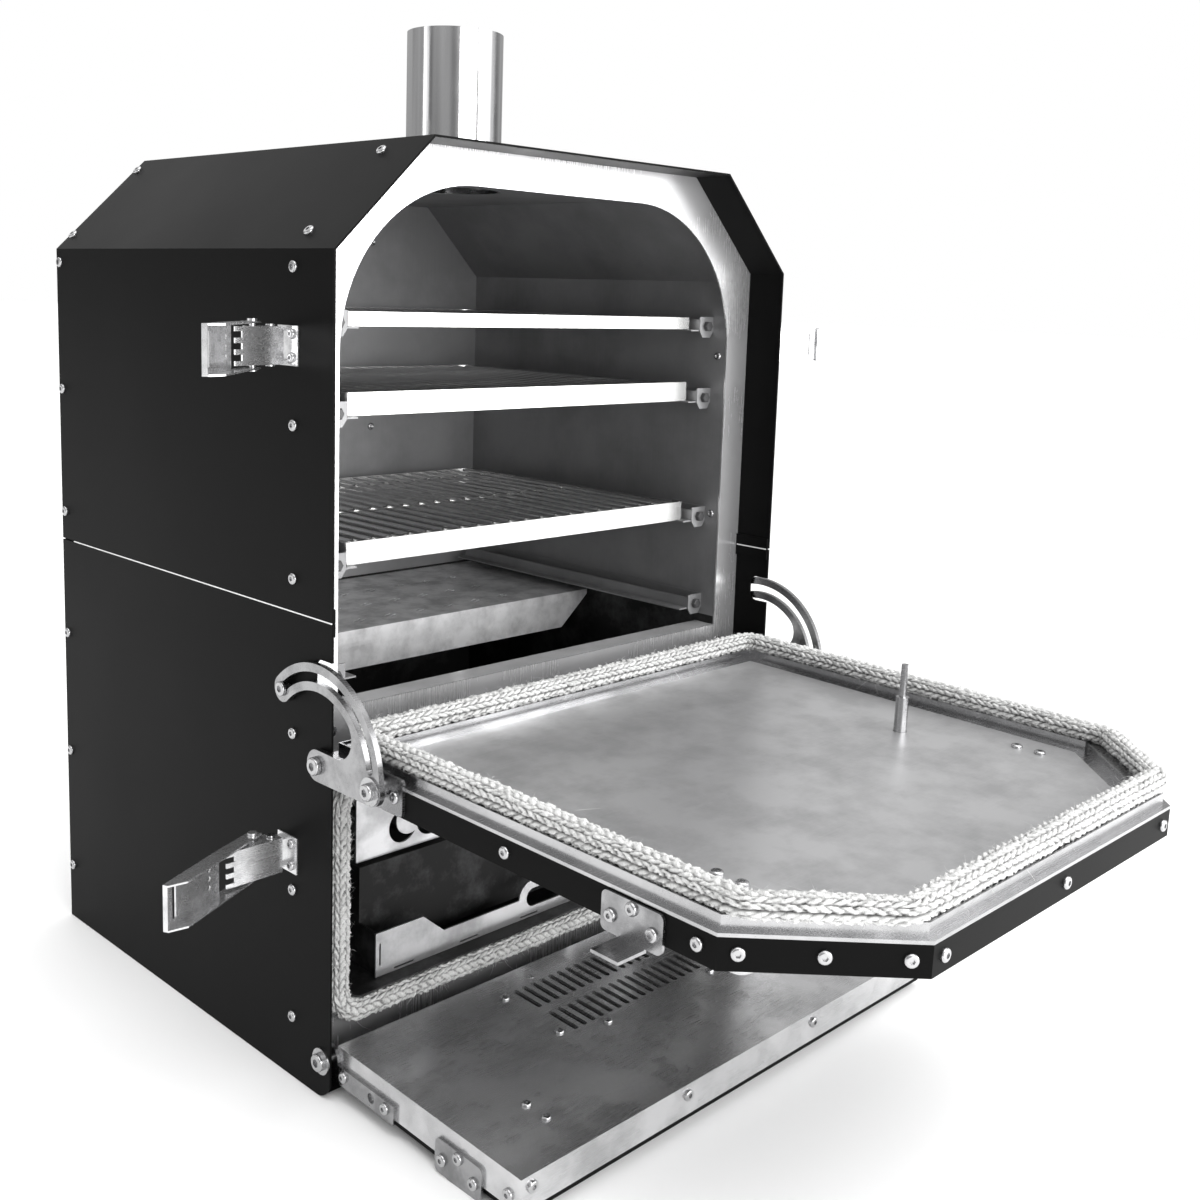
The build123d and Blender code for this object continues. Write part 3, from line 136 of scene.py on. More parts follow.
def sheetSteel(name):
    # cold-rolled 304 sheet, belt-brushed one way: long fine scratches, and faint clouds from handling and heat
    colour, darker, roughness, axis, pitchMm, cloudMm, grainDepthMm, metallic = sheetFinishes[name]
    material, tree, shader = newMaterial(name)
    place = addNode(tree, "ShaderNodeTexCoord").outputs["Object"]
    across = 1000 / pitchMm
    stretch = [across, across, across]
    stretch[axis] = across / grainLengths
    grainPlace = addNode(tree, "ShaderNodeMapping", {"Vector": place, "Scale": stretch})
    grain = addNode(tree, "ShaderNodeTexNoise", {"Vector": grainPlace.outputs["Vector"], "Scale": 1.0,
                                                 "Detail": 1.0 if name == "flueTube" else 4.0, "Roughness": 0.65})
    cloud = addNode(tree, "ShaderNodeTexNoise", {"Vector": place, "Scale": 1000 / cloudMm, "Detail": 5.0,
                                                 "Roughness": 0.6})
    clouded = addNode(tree, "ShaderNodeMapRange", {"Value": cloud.outputs["Fac"], "From Min": 0.40,
                                                   "From Max": 0.66})
    tone = addNode(tree, "ShaderNodeMix", {"Factor": clouded.outputs["Result"], "A": linear(colour),
                                           "B": linear(darker)}, data_type="RGBA")
    # handling marks dull the brushed face a little where the clouds are
    handled = addNode(tree, "ShaderNodeMapRange", {"Value": cloud.outputs["Fac"], "From Min": 0.45,
                                                   "From Max": 0.60, "To Min": roughness + 0.03,
                                                   "To Max": roughness + 0.14})
    rough = addNode(tree, "ShaderNodeMapRange", {"Value": grain.outputs["Fac"], "From Min": 0.3, "From Max": 0.7,
                                                 "To Min": roughness - 0.06, "To Max": handled.outputs["Result"]})
    bump = addNode(tree, "ShaderNodeBump", {"Height": grain.outputs["Fac"], "Strength": 0.5,
                                            "Distance": grainDepthMm * mm})
    if name == "flueTube":
        # painted reflections: long soft bands down the drawn tube, each about a tenth of its width, mixed between
        # the two colours by the stretched grain
        paintedReflectionBands = addNode(tree, "ShaderNodeMapRange", {"Value": grain.outputs["Fac"], "From Min": 0.42,
                                                      "From Max": 0.60})
        tree.links.new(paintedReflectionBands.outputs["Result"], tone.inputs["Factor"])
    tree.links.new(tone.outputs["Result"], shader.inputs["Base Color"])
    tree.links.new(rough.outputs["Result"], shader.inputs["Roughness"])
    tree.links.new(bump.outputs["Normal"], shader.inputs["Normal"])
    shader.inputs["Metallic"].default_value = metallic
    return material


def paintedSeamHighlight():
    # a painted highlight: a dull white strip in the seam that draws the bright line of light there, bright from any
    # side
    material, tree, shader = newMaterial("seamHighlightStrip")
    place = addNode(tree, "ShaderNodeTexCoord").outputs["Object"]
    grit = addNode(tree, "ShaderNodeTexNoise", {"Vector": place, "Scale": 1000 / 4, "Detail": 5.0})
    tone = addNode(tree, "ShaderNodeMix", {"Factor": grit.outputs["Fac"], "A": linear("#ffffff"),
                                           "B": linear("#d5d5d5")}, data_type="RGBA")
    tree.links.new(tone.outputs["Result"], shader.inputs["Base Color"])
    shader.inputs["Roughness"].default_value = 0.6
    shader.inputs["Metallic"].default_value = 0.15
    return material


def sootySteel():
    # mild steel plate that has been in a fire: dry black scale with grey ash in patches
    material, tree, shader = newMaterial("sootySteel")
    place = addNode(tree, "ShaderNodeTexCoord").outputs["Object"]
    patch = addNode(tree, "ShaderNodeTexNoise", {"Vector": place, "Scale": 1000 / 60, "Detail": 8.0,
                                                 "Roughness": 0.7})
    ash = addNode(tree, "ShaderNodeMapRange", {"Value": patch.outputs["Fac"], "From Min": 0.48, "From Max": 0.72})
    colour = addNode(tree, "ShaderNodeMix", {"Factor": ash.outputs["Result"], "A": linear("#141414"),
                                             "B": linear("#4a4a4b")}, data_type="RGBA")
    scale = addNode(tree, "ShaderNodeTexNoise", {"Vector": place, "Scale": 1000 / 3, "Detail": 6.0})
    bump = addNode(tree, "ShaderNodeBump", {"Height": scale.outputs["Fac"], "Strength": 0.5, "Distance": 0.25 * mm})
    tree.links.new(colour.outputs["Result"], shader.inputs["Base Color"])
    tree.links.new(bump.outputs["Normal"], shader.inputs["Normal"])
    shader.inputs["Roughness"].default_value = 0.62
    shader.inputs["Metallic"].default_value = 0.35
    return material


def turnedSteel():
    # A2 stainless fasteners, cold headed and tumbled: bright, with a faint pebbled skin
    material, tree, shader = newMaterial("tumbledStainless")
    place = addNode(tree, "ShaderNodeTexCoord").outputs["Object"]
    pebble = addNode(tree, "ShaderNodeTexNoise", {"Vector": place, "Scale": 1000 / 1.5, "Detail": 3.0})
    rough = addNode(tree, "ShaderNodeMapRange", {"Value": pebble.outputs["Fac"], "To Min": 0.16, "To Max": 0.34})
    bump = addNode(tree, "ShaderNodeBump", {"Height": pebble.outputs["Fac"], "Strength": 0.3, "Distance": 0.05 * mm})
    tree.links.new(rough.outputs["Result"], shader.inputs["Roughness"])
    tree.links.new(bump.outputs["Normal"], shader.inputs["Normal"])
    shader.inputs["Base Color"].default_value = linear("#b2b2b3")
    shader.inputs["Metallic"].default_value = 1.0
    return material


def rackSteel():
    # drawn stainless wire and flat bar, electropolished: bright, a little uneven where it was welded
    material, tree, shader = newMaterial("electropolishedWire")
    place = addNode(tree, "ShaderNodeTexCoord").outputs["Object"]
    uneven = addNode(tree, "ShaderNodeTexNoise", {"Vector": place, "Scale": 1000 / 14, "Detail": 4.0})
    tone = addNode(tree, "ShaderNodeMix", {"Factor": uneven.outputs["Fac"], "A": linear("#dededd"),
                                           "B": linear("#b4b4b4")}, data_type="RGBA")
    rough = addNode(tree, "ShaderNodeMapRange", {"Value": uneven.outputs["Fac"], "To Min": 0.16, "To Max": 0.30})
    tree.links.new(tone.outputs["Result"], shader.inputs["Base Color"])
    tree.links.new(rough.outputs["Result"], shader.inputs["Roughness"])
    shader.inputs["Metallic"].default_value = 1.0
    return material


def enamel(name, colour):
    # stove enamel on a stamped disc: smooth, with a trace of unevenness
    material, tree, shader = newMaterial(name)
    place = addNode(tree, "ShaderNodeTexCoord").outputs["Object"]
    flow = addNode(tree, "ShaderNodeTexNoise", {"Vector": place, "Scale": 1000 / 6, "Detail": 2.0})
    rough = addNode(tree, "ShaderNodeMapRange", {"Value": flow.outputs["Fac"], "To Min": 0.28, "To Max": 0.38})
    tree.links.new(rough.outputs["Result"], shader.inputs["Roughness"])
    shader.inputs["Base Color"].default_value = linear(colour)
    return material


def gaugeGlass():
    # cut soda-lime window glass: clear and flat
    material, tree, shader = newMaterial("gaugeGlass")
    place = addNode(tree, "ShaderNodeTexCoord").outputs["Object"]
    dust = addNode(tree, "ShaderNodeTexNoise", {"Vector": place, "Scale": 1000 / 8, "Detail": 4.0})
    rough = addNode(tree, "ShaderNodeMapRange", {"Value": dust.outputs["Fac"], "To Min": 0.01, "To Max": 0.06})
    tree.links.new(rough.outputs["Result"], shader.inputs["Roughness"])
    shader.inputs["Base Color"].default_value = linear("#f6f8f8")
    shader.inputs["Transmission Weight"].default_value = 1.0
    shader.inputs["IOR"].default_value = 1.5
    return material


def blanketFibre():
    # needled ceramic-fibre blanket: matt white felt, hidden behind the linings
    material, tree, shader = newMaterial("needledFibreBlanket")
    place = addNode(tree, "ShaderNodeTexCoord").outputs["Object"]
    felt = addNode(tree, "ShaderNodeTexNoise", {"Vector": place, "Scale": 1000 / 5, "Detail": 8.0,
                                                "Roughness": 0.75})
    tone = addNode(tree, "ShaderNodeMix", {"Factor": felt.outputs["Fac"], "A": linear("#f0eee6"),
                                           "B": linear("#cfccc2")}, data_type="RGBA")
    bump = addNode(tree, "ShaderNodeBump", {"Height": felt.outputs["Fac"], "Strength": 0.8, "Distance": 0.8 * mm})
    tree.links.new(tone.outputs["Result"], shader.inputs["Base Color"])
    tree.links.new(bump.outputs["Normal"], shader.inputs["Normal"])
    shader.inputs["Roughness"].default_value = 0.95
    return material


rope = {
    "halfWide": 10.2,       # mm
    "halfHigh": 8.9,
    "fireHigh": 8.0,        # the fire mouth's rope is pressed a little flatter
    "rows": 10,             # columns of stitches round the rope
    "stitchMm": 9.0,        # one stitch along the rope
    "depthMm": 2.1,
    "stepMm": 1.35,
    "around": 72,
    "squareness": 2.5,
    "fuzzMm": 0.42,         # how far single yarns stand off a stitch
    "fibres": 5200,         # loose ends on each rope
    "fibreMm": 0.17,
    "fibreLongMm": 7.0,
    "fibreTone": 0.8,       # as bright as a stitch this high, above the grey of the painted gap shade
    "mouthClear": (0.252, 0.1, 0.0664),   # over the bottom run the fibres stay under the basket, in metres
}


def ropeFibre():
    # knitted texturised E-glass rope: dull white yarn, with painted shade in the gaps between stitches, grey where a
    # stitch is low
    material, tree, shader = newMaterial("knittedGlassRope")
    place = addNode(tree, "ShaderNodeTexCoord")
    height = addNode(tree, "ShaderNodeAttribute", attribute_name="stitchHeight").outputs["Fac"]
    # painted shade: stitch height runs from grey at the bottom of a gap to white on a crown
    tone = addNode(tree, "ShaderNodeValToRGB", {"Fac": height})
    tone.color_ramp.elements[0].position = 0.02
    tone.color_ramp.elements[0].color = linear("#3d3d3c")
    tone.color_ramp.elements[1].position = 0.58
    tone.color_ramp.elements[1].color = linear("#e9e9e8")
    yarnPlace = addNode(tree, "ShaderNodeMapping", {"Vector": place.outputs["UV"], "Scale": (2400.0, 500.0, 1.0),
                                                    "Rotation": (0.0, 0.0, 0.5)})
    yarn = addNode(tree, "ShaderNodeTexNoise", {"Vector": yarnPlace.outputs["Vector"], "Scale": 1.0, "Detail": 5.0,
                                                "Roughness": 0.7})
    stain = addNode(tree, "ShaderNodeTexNoise", {"Vector": place.outputs["Object"], "Scale": 1000 / 45,
                                                 "Detail": 4.0})
    shade = addNode(tree, "ShaderNodeMapRange", {"Value": stain.outputs["Fac"], "From Min": 0.3, "From Max": 0.75,
                                                 "To Min": 1.0, "To Max": 0.80})
    stained = addNode(tree, "ShaderNodeMix", {"Factor": 1.0, "A": tone.outputs["Color"],
                                              "B": shade.outputs["Result"]}, data_type="RGBA",
                      blend_type="MULTIPLY")
    bump = addNode(tree, "ShaderNodeBump", {"Height": yarn.outputs["Fac"], "Strength": 0.9, "Distance": 0.8 * mm})
    strand = addNode(tree, "ShaderNodeMapRange", {"Value": yarn.outputs["Fac"], "From Min": 0.36, "From Max": 0.56,
                                                  "To Min": 0.66, "To Max": 1.0})
    colour = addNode(tree, "ShaderNodeMix", {"Factor": 1.0, "A": stained.outputs["Result"],
                                             "B": strand.outputs["Result"]}, data_type="RGBA",
                     blend_type="MULTIPLY")
    tree.links.new(colour.outputs["Result"], shader.inputs["Base Color"])
    tree.links.new(bump.outputs["Normal"], shader.inputs["Normal"])
    shader.inputs["Roughness"].default_value = 0.88
    shader.inputs["Sheen Weight"].default_value = 0.25
    return material


def gridMesh(name, points, closeLong=True, attributes=None, uv=None, smooth=True):
    # one or many grids of points, long steps by steps round, joined into quads by wrapping index arrays;
    # the steps round always close, and the long ones where the piece is a ring
    many = points.shape[0] if points.ndim == 4 else 1
    long, around = points.shape[-3:-1]
    a, b = np.meshgrid(np.arange(long if closeLong else long - 1), np.arange(around), indexing="ij")
    nextA, nextB = (a + 1) % long, (b + 1) % around
    quads = np.stack([a * around + b, nextA * around + b, nextA * around + nextB, a * around + nextB], axis=-1)
    quads = (quads.reshape(1, -1, 4) + (np.arange(many) * long * around)[:, None, None]).reshape(-1, 4)
    mesh = bpy.data.meshes.new(name)
    mesh.vertices.add(many * long * around)
    mesh.vertices.foreach_set("co", points.reshape(-1).astype(np.float32))
    mesh.loops.add(quads.size)
    mesh.loops.foreach_set("vertex_index", quads.reshape(-1).astype(np.int32))
    mesh.polygons.add(len(quads))
    mesh.polygons.foreach_set("loop_start", np.arange(0, quads.size, 4, dtype=np.int32))
    mesh.polygons.foreach_set("use_smooth", np.full(len(quads), smooth, dtype=bool))
    for key, values in (attributes or {}).items():
        layer = mesh.attributes.new(key, "FLOAT", "POINT")
        layer.data.foreach_set("value", values.reshape(-1).astype(np.float32))
    if uv is not None:
        layer = mesh.uv_layers.new(name="UVMap")
        layer.data.foreach_set("uv", uv.reshape(-1, 2)[quads.reshape(-1)].reshape(-1).astype(np.float32))
    mesh.update()
    mesh.validate()
    piece = bpy.data.objects.new(name, mesh)
    scene.collection.objects.link(piece)
    return piece


def studs(name, places, frames, profile, around, finish, body, smooth=True, phase=0.0):
    # many turned pieces at once: radius times cosine and sine along each frame's first two directions,
    # height along its third, with the poles merged so that each piece is closed
    radius, height = np.array(profile).T * mm
    angle = np.arange(around) * 2 * np.pi / around + phase
    ring = np.stack([radius[:, None] * np.cos(angle), radius[:, None] * np.sin(angle),
                     np.repeat(height[:, None], around, axis=1)], axis=-1)
    points = np.einsum("lak,nkc->nlac", ring, np.array(frames)) + np.array(places)[:, None, None, :]
    piece = gridMesh(name, points, closeLong=False, smooth=smooth)
    shape = bmesh.new()
    shape.from_mesh(piece.data)
    bmesh.ops.remove_doubles(shape, verts=shape.verts, dist=1e-6)
    bmesh.ops.recalc_face_normals(shape, faces=shape.faces)
    shape.to_mesh(piece.data)
    shape.free()
    piece.data.materials.append(materials[finish])
    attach(piece, body)
    return piece


def looseFibres(name, points, press, body, seed):
    # thin closed spikes of three sides: each leaves the rope's skin, leans over by its length times t and bends
    # back by t squared. A part that would pass one of the pressing planes is laid back onto it
    rng = np.random.default_rng(seed)
    long, around = points.shape[:2]
    count = rope["fibres"]
    i, j = rng.integers(0, long, count), rng.integers(0, around, count)
    base = points[i, j]
    ahead = points[(i + 1) % long, j] - base
    ahead /= np.linalg.norm(ahead, axis=1)[:, None]
    sideways = points[i, (j + 2) % around] - points[i, (j - 2) % around]
    sideways /= np.linalg.norm(sideways, axis=1)[:, None]
    out = points[i, j] - points[i].mean(axis=1)
    out /= np.linalg.norm(out, axis=1)[:, None]
    lean = rng.normal(0, 1.0, (count, 1)) * ahead + rng.normal(0, 0.8, (count, 1)) * sideways
    bend = rng.normal(0, 0.7, (count, 1)) * ahead + rng.normal(0, 0.5, (count, 1)) * sideways
    reach = rng.gamma(2.2, rope["fibreLongMm"] / 3.2, (count, 1)) * mm
    t = np.array([-0.08, 0.35, 0.7, 1.0])
    spine = base[:, None, :] + reach[:, None, :] * (t[None, :, None] * (out * 0.45 + lean * 0.6)[:, None, :]
                                                    + (t ** 2)[None, :, None] * (bend - out * 0.15)[:, None, :])
    inMouth = (np.abs(spine[..., 0]) < rope["mouthClear"][0]) & (spine[..., 2] < rope["mouthClear"][1])
    if body == "cabinet":
        spine[..., 2] = np.where(inMouth, np.minimum(spine[..., 2], rope["mouthClear"][2]), spine[..., 2])
    for origin, normal, limit in press:
        over = (spine - origin) @ normal - limit
        spine = spine - np.maximum(over, 0)[..., None] * normal
    thick = rope["fibreMm"] * mm * np.array([1.0, 0.9, 0.7, 0.15])   # tapers to its end
    turn = np.arange(3) * 2 * np.pi / 3
    ring = ahead[:, None, None, :] * np.cos(turn)[None, None, :, None]
    ring = ring + sideways[:, None, None, :] * np.sin(turn)[None, None, :, None]
    tubes = spine[:, :, None, :] + ring * thick[None, :, None, None]
    piece = gridMesh(name, tubes, closeLong=False)
    shape = bmesh.new()
    shape.from_mesh(piece.data)
    bmesh.ops.holes_fill(shape, edges=shape.edges, sides=3)
    bmesh.ops.recalc_face_normals(shape, faces=shape.faces)
    shape.to_mesh(piece.data)
    shape.free()
    # each fibre gets one stitch height, so the painted gap shade leaves it light
    height = piece.data.attributes.new("stitchHeight", "FLOAT", "POINT")
    height.data.foreach_set("value", np.full(len(piece.data.vertices), rope["fibreTone"], dtype=np.float32))
    piece.data.materials.append(materials["knittedGlassRope"])
    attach(piece, body)


def roundedLoop(corners, radius, step):
    # a closed line of straight runs joined by arcs. An arc touches both of its runs at the radius divided by
    # the tangent of half the corner's angle from the corner, then the whole line is resampled evenly
    corners = np.array(corners, dtype=float)
    count = len(corners)
    pieces = []
    for k in range(count):
        before, corner, after = corners[k - 1], corners[k], corners[(k + 1) % count]
        inward = (before - corner) / np.linalg.norm(before - corner)
        outward = (after - corner) / np.linalg.norm(after - corner)
        half = np.arccos(np.clip(inward @ outward, -1, 1)) / 2
        centre = corner + (inward + outward) / np.linalg.norm(inward + outward) * radius / np.sin(half)
        start = corner + inward * radius / np.tan(half) - centre
        end = corner + outward * radius / np.tan(half) - centre
        turn = np.arctan2(start[0] * end[1] - start[1] * end[0], start @ end)
        angles = np.linspace(0, turn, 24)[:, None]
        pieces.append(centre + np.hstack([start[0] * np.cos(angles) - start[1] * np.sin(angles),
                                          start[0] * np.sin(angles) + start[1] * np.cos(angles)]))
    line = np.vstack(pieces + [pieces[0][:1]])
    lengths = np.concatenate([[0], np.cumsum(np.linalg.norm(np.diff(line, axis=0), axis=1))])
    steps = int(round(lengths[-1] / step))
    wanted = np.arange(steps) * lengths[-1] / steps
    evenly = np.stack([np.interp(wanted, lengths, line[:, 0]), np.interp(wanted, lengths, line[:, 1])], axis=1)
    return evenly, lengths[-1]


def knittedRope(name, corners, cornerRadius, toWorld, body, node, seed, halfHigh, press):
    # the rope's skin: a squarish ellipse carried along the line. Stitch height is a row crown, one minus the
    # square of the distance from the row's middle, times a wave along the rope whose phase leans as a chevron
    line, length = roundedLoop(corners, cornerRadius, rope["stepMm"])
    ahead = np.roll(line, -1, axis=0) - np.roll(line, 1, axis=0)
    ahead /= np.linalg.norm(ahead, axis=1)[:, None]
    side = np.stack([ahead[:, 1], -ahead[:, 0]], axis=1)
    along = np.arange(len(line)) * length / len(line)
    theta = np.linspace(0, 2 * np.pi, rope["around"], endpoint=False)
    s, t = np.meshgrid(along, theta, indexing="ij")
    rng = np.random.default_rng(seed)
    wander = np.zeros_like(s)
    for _ in range(5):
        waves = rng.integers(3, 40)
        wander += np.sin(2 * np.pi * waves * s / length + rng.uniform(0, 6.3)) * rng.uniform(0.05, 0.22)
    stitches = round(length / rope["stitchMm"])
    rowPlace = t / (2 * np.pi) * rope["rows"]
    rowIndex = np.floor(rowPlace)
    fromMiddle = rowPlace - rowIndex - 0.5
    lean = np.where(rowIndex % 2 == 0, 1.0, -1.0) * fromMiddle
    wave = 0.5 + 0.5 * np.cos(2 * np.pi * (stitches * s / length + lean + 0.5 * (rowIndex % 2)))
    crown = 1 - np.abs(2 * fromMiddle) ** 2.4
    uneven = rng.uniform(0.75, 1.15, size=(stitches, rope["rows"]))
    patch = uneven[(np.floor(stitches * s / length).astype(int)) % stitches, rowIndex.astype(int) % rope["rows"]]
    height = np.clip(crown, 0, 1) ** 0.75 * (0.25 + 0.75 * wave ** 0.7) * patch
    power = 2 / rope["squareness"]
    yarnRipple = rng.normal(0, 1, size=s.shape)
    yarnRipple = (yarnRipple + np.roll(yarnRipple, 1, axis=0)
                  + np.roll(yarnRipple, (1, 1), axis=(0, 1))) / 1.7
    height = np.clip(height + 0.10 * yarnRipple, 0, 1.2)
    grow = (height - 0.8) * rope["depthMm"] + wander + rope["fuzzMm"] * yarnRipple
    across = np.sign(np.cos(t)) * np.abs(np.cos(t)) ** power * (rope["halfWide"] + grow)
    up = np.sign(np.sin(t)) * np.abs(np.sin(t)) ** power * (halfHigh + grow)
    flat = line[:, None, :] + side[:, None, :] * across[..., None]
    points = toWorld(flat[..., 0], flat[..., 1], up)
    uv = np.stack([s * mm, t / (2 * np.pi) * 0.06], axis=-1)
    # the stitch height also draws the rope's painted gap shade, grey where it is low
    piece = gridMesh(name, points, attributes={"stitchHeight": height}, uv=uv)
    piece.data.materials.append(materials["knittedGlassRope"])
    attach(piece, body)
    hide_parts(node)
    looseFibres(name + "Fibres", points, press, body, seed + 1)
    print(name, "centre line", round(length), "mm")


def onUpperDoor(x, y, z):
    # from the door's own place in mm: turned by the droop about the hinge line, then moved to it
    y, z = y * mm, z * mm
    turn = hinges["upperDroop"]
    return np.stack([x * mm, hinges["lineY"] + y * cos(turn) - z * sin(turn),
                     hinges["upperZ"] + y * sin(turn) + z * cos(turn)], axis=-1)


materials = {"satinPowderCoat": powderCoat(), "sootySteel": sootySteel(), "tumbledStainless": turnedSteel(),
             "electropolishedWire": rackSteel(), "dialEnamel": enamel("dialEnamel", "#f2f2ee"),
             "pointerEnamel": enamel("pointerEnamel", "#a01a18"), "gaugeGlass": gaugeGlass(),
             "needledFibreBlanket": blanketFibre(), "knittedGlassRope": ropeFibre(),
             "seamHighlightStrip": paintedSeamHighlight(), "tickEnamel": enamel("tickEnamel", "#151515"),
             "blackenedBolt": enamel("blackenedBolt", "#3a3a3b")}
for finish in sheetFinishes:
    materials[finish] = sheetSteel(finish)
print("materials made:", len(materials))

latchNames = [f"latch_{piece}_{place}" for piece in ("lever", "link")
              for place in ("upper_left", "upper_right", "lower_left", "lower_right")]
nodeFinishes = {
    "satinPowderCoat": ["upper_jacket", "lower_jacket", "back_panel", "upper_door_pan", "lower_door_pan",
                        "lower_handle_tray", "seam_strip"],
    "brushedPlate": ["front_plate"],
    "brushedPanel": ["upper_door_panel"],
    "guardSheet": ["fire_guard", "basket_front"],
    "brushedDoor": ["lower_door_liner", "lower_damper", "damper_guides"],
    "doorFrame": ["upper_door_frame"],
    "polishedTrim": ["sill_channel", "upper_door_handle", "lower_door_handle", "thermometer_case",
                     "upper_handle_feet"],
    "armSteel": ["upper_door_strikes", "lower_door_strikes", "hinge_arms", "hinge_brackets",
                 "lower_hinge_plates"],
    "latchSteel": ["latch_bases"] + latchNames,
    "flueTube": ["flue_stub", "flue_collar"],
    "linerSheet": ["upper_liner", "shelf_rails_left", "shelf_rails_right"],
    "baffleSheet": ["heat_baffle"],
    "sootySteel": ["firebox_liner", "basket_box", "fire_grate"],
    "tumbledStainless": ["jacket_screws", "latch_hardware", "hinge_pins", "upper_door_screws", "arm_bolts",
                         "lower_door_screws", "thermometer_stem"],
    "electropolishedWire": ["rack_top", "rack_middle", "rack_bottom"],
    "dialEnamel": ["thermometer_face"],
    "pointerEnamel": ["thermometer_pointer"],
    "gaugeGlass": ["thermometer_glass"],
    "needledFibreBlanket": ["insulation_blanket", "upper_door_insulation", "upper_door_gasket", "firebox_gasket"],
}
for finish, names in nodeFinishes.items():
    for name in names:
        for materialSlot in cadNodes[name].material_slots:
            materialSlot.material = materials[finish]
print("finished nodes:", sum(len(names) for names in nodeFinishes.values()), "of", len(cadNodes))

# ---- rope seals
ropeRuns = {
    "doorInset": 16.2,
    "doorRadius": 17.0,
    "doorLevel": 22.3,
    "doorPressMm": 33.0,    # the front plate's face, from the door's hinge line, less half a millimetre
    "mouthPressMm": 18.6,   # the lower door's inside face, from the front plate
    "mouthHalf": 265.4,
    "mouthLow": 54.6,
    "mouthHigh": 274.4,
    "mouthRadius": 24.0,
    "mouthStand": 8.3,
}
doorOutline = {             # mm, from the hinge line
    "half": 289,
    "near": 8,
    "chamferStart": -428,
    "farHalf": 188,
    "far": -528,
    "chamferSlope": 0.4163,   # how far along a side one millimetre of inset moves the start of a chamfer
}
doorClear = {               # mm from the hinge line: how far the closed door's fibres may reach
    "sides": 288.0,
    "far": 527.0,
    "near": 7.5,
    "chamfer": 506.5,
    "chamferNormal": (0.7036, -0.7106),
}
inset = ropeRuns["doorInset"]
slope = inset * doorOutline["chamferSlope"]
nearY, farY = doorOutline["near"] - inset, doorOutline["far"] + inset
sideX, sideY = doorOutline["half"] - inset, doorOutline["chamferStart"] - slope
farX = doorOutline["farHalf"] + slope
doorCorners = [(-sideX, nearY), (-sideX, sideY), (-farX, farY), (farX, farY), (sideX, sideY), (sideX, nearY)]
alongX, alongY, alongZ = np.eye(3)
doorOrigin = onUpperDoor(*np.zeros(3))
doorAway = onUpperDoor(0.0, 1000.0, 0.0) - doorOrigin
doorUnder = onUpperDoor(0.0, 0.0, -1000.0) - doorOrigin
chamferX, chamferY = doorClear["chamferNormal"]
doorPress = [(doorOrigin, -doorUnder, ropeRuns["doorPressMm"] * mm),
             (doorOrigin, alongX, doorClear["sides"] * mm), (doorOrigin, -alongX, doorClear["sides"] * mm),
             (doorOrigin, -doorAway, doorClear["far"] * mm), (doorOrigin, doorAway, doorClear["near"] * mm),
             (doorOrigin, -chamferX * alongX + chamferY * doorAway, doorClear["chamfer"] * mm),
             (doorOrigin, chamferX * alongX + chamferY * doorAway, doorClear["chamfer"] * mm)]
knittedRope("upperDoorRope", doorCorners, ropeRuns["doorRadius"],
            lambda x, y, up: onUpperDoor(x, y, up + ropeRuns["doorLevel"]), "upper_door", "upper_door_gasket", 3,
            rope["halfHigh"], doorPress)
mouthHalf, mouthLow, mouthHigh = ropeRuns["mouthHalf"], ropeRuns["mouthLow"], ropeRuns["mouthHigh"]
mouthCorners = [(-mouthHalf, mouthLow), (mouthHalf, mouthLow), (mouthHalf, mouthHigh), (-mouthHalf, mouthHigh)]
mouthPress = [(hinges["plateFace"] * alongY, -alongY, ropeRuns["mouthPressMm"] * mm)]
knittedRope("fireMouthRope", mouthCorners, ropeRuns["mouthRadius"],
            lambda x, z, up: np.stack([x * mm, hinges["plateFace"] - (up + ropeRuns["mouthStand"]) * mm,
                                       z * mm], axis=-1), "cabinet", "firebox_gasket", 8, rope["fireHigh"],
            mouthPress)
print("rope seals made")

# ---- small steel pieces inside the oven
facingFront = np.array([alongX, alongZ, -alongY])
facingRight = np.array([alongY, alongZ, alongX])
facingLeft = np.array([alongY, alongZ, -alongX])

oven = {
    # the lining's inside faces and the screws and bolts on them, in metres
    "half": 0.262,
    "backWall": 0.2255,
    "wallScrewY": -0.1945,
    "wallScrewZ": (0.651, 0.471),
    "backScrewX": 0.091,
    "backScrewZ": (0.542, 0.771),
    "railX": 0.2504,
    "railFaceY": -0.186,
    "railZ": (0.684, 0.604, 0.468, 0.366),
}
screwProfile = [   # radius and height in mm, from the middle of the head outwards
    (0, 1.2), (1.9, 1.2), (2.1, 2.3), (3.2, 2.0), (4.2, 1.2), (4.5, 0.3), (4.5, -0.4), (0, -0.4)]
places, frames = [], []
for z in oven["wallScrewZ"]:
    places += [(-oven["half"], oven["wallScrewY"], z), (oven["half"], oven["wallScrewY"], z)]
    frames += [facingRight, facingLeft]
for z in oven["backScrewZ"]:
    places += [(-oven["backScrewX"], oven["backWall"], z), (oven["backScrewX"], oven["backWall"], z)]
    frames += [facingFront, facingFront]
studs("linerScrews", places, frames, screwProfile, 20, "tumbledStainless", "cabinet")

boltProfile = [(0, 5.2), (4.6, 5.2), (5.7, 4.4), (5.7, 0.0), (0, 0.0)]
places = [(side * oven["railX"], oven["railFaceY"], z) for z in oven["railZ"] for side in (-1, 1)]
studs("railBolts", places, [facingFront] * len(places), boltProfile, 6, "blackenedBolt", "cabinet",
      smooth=False)

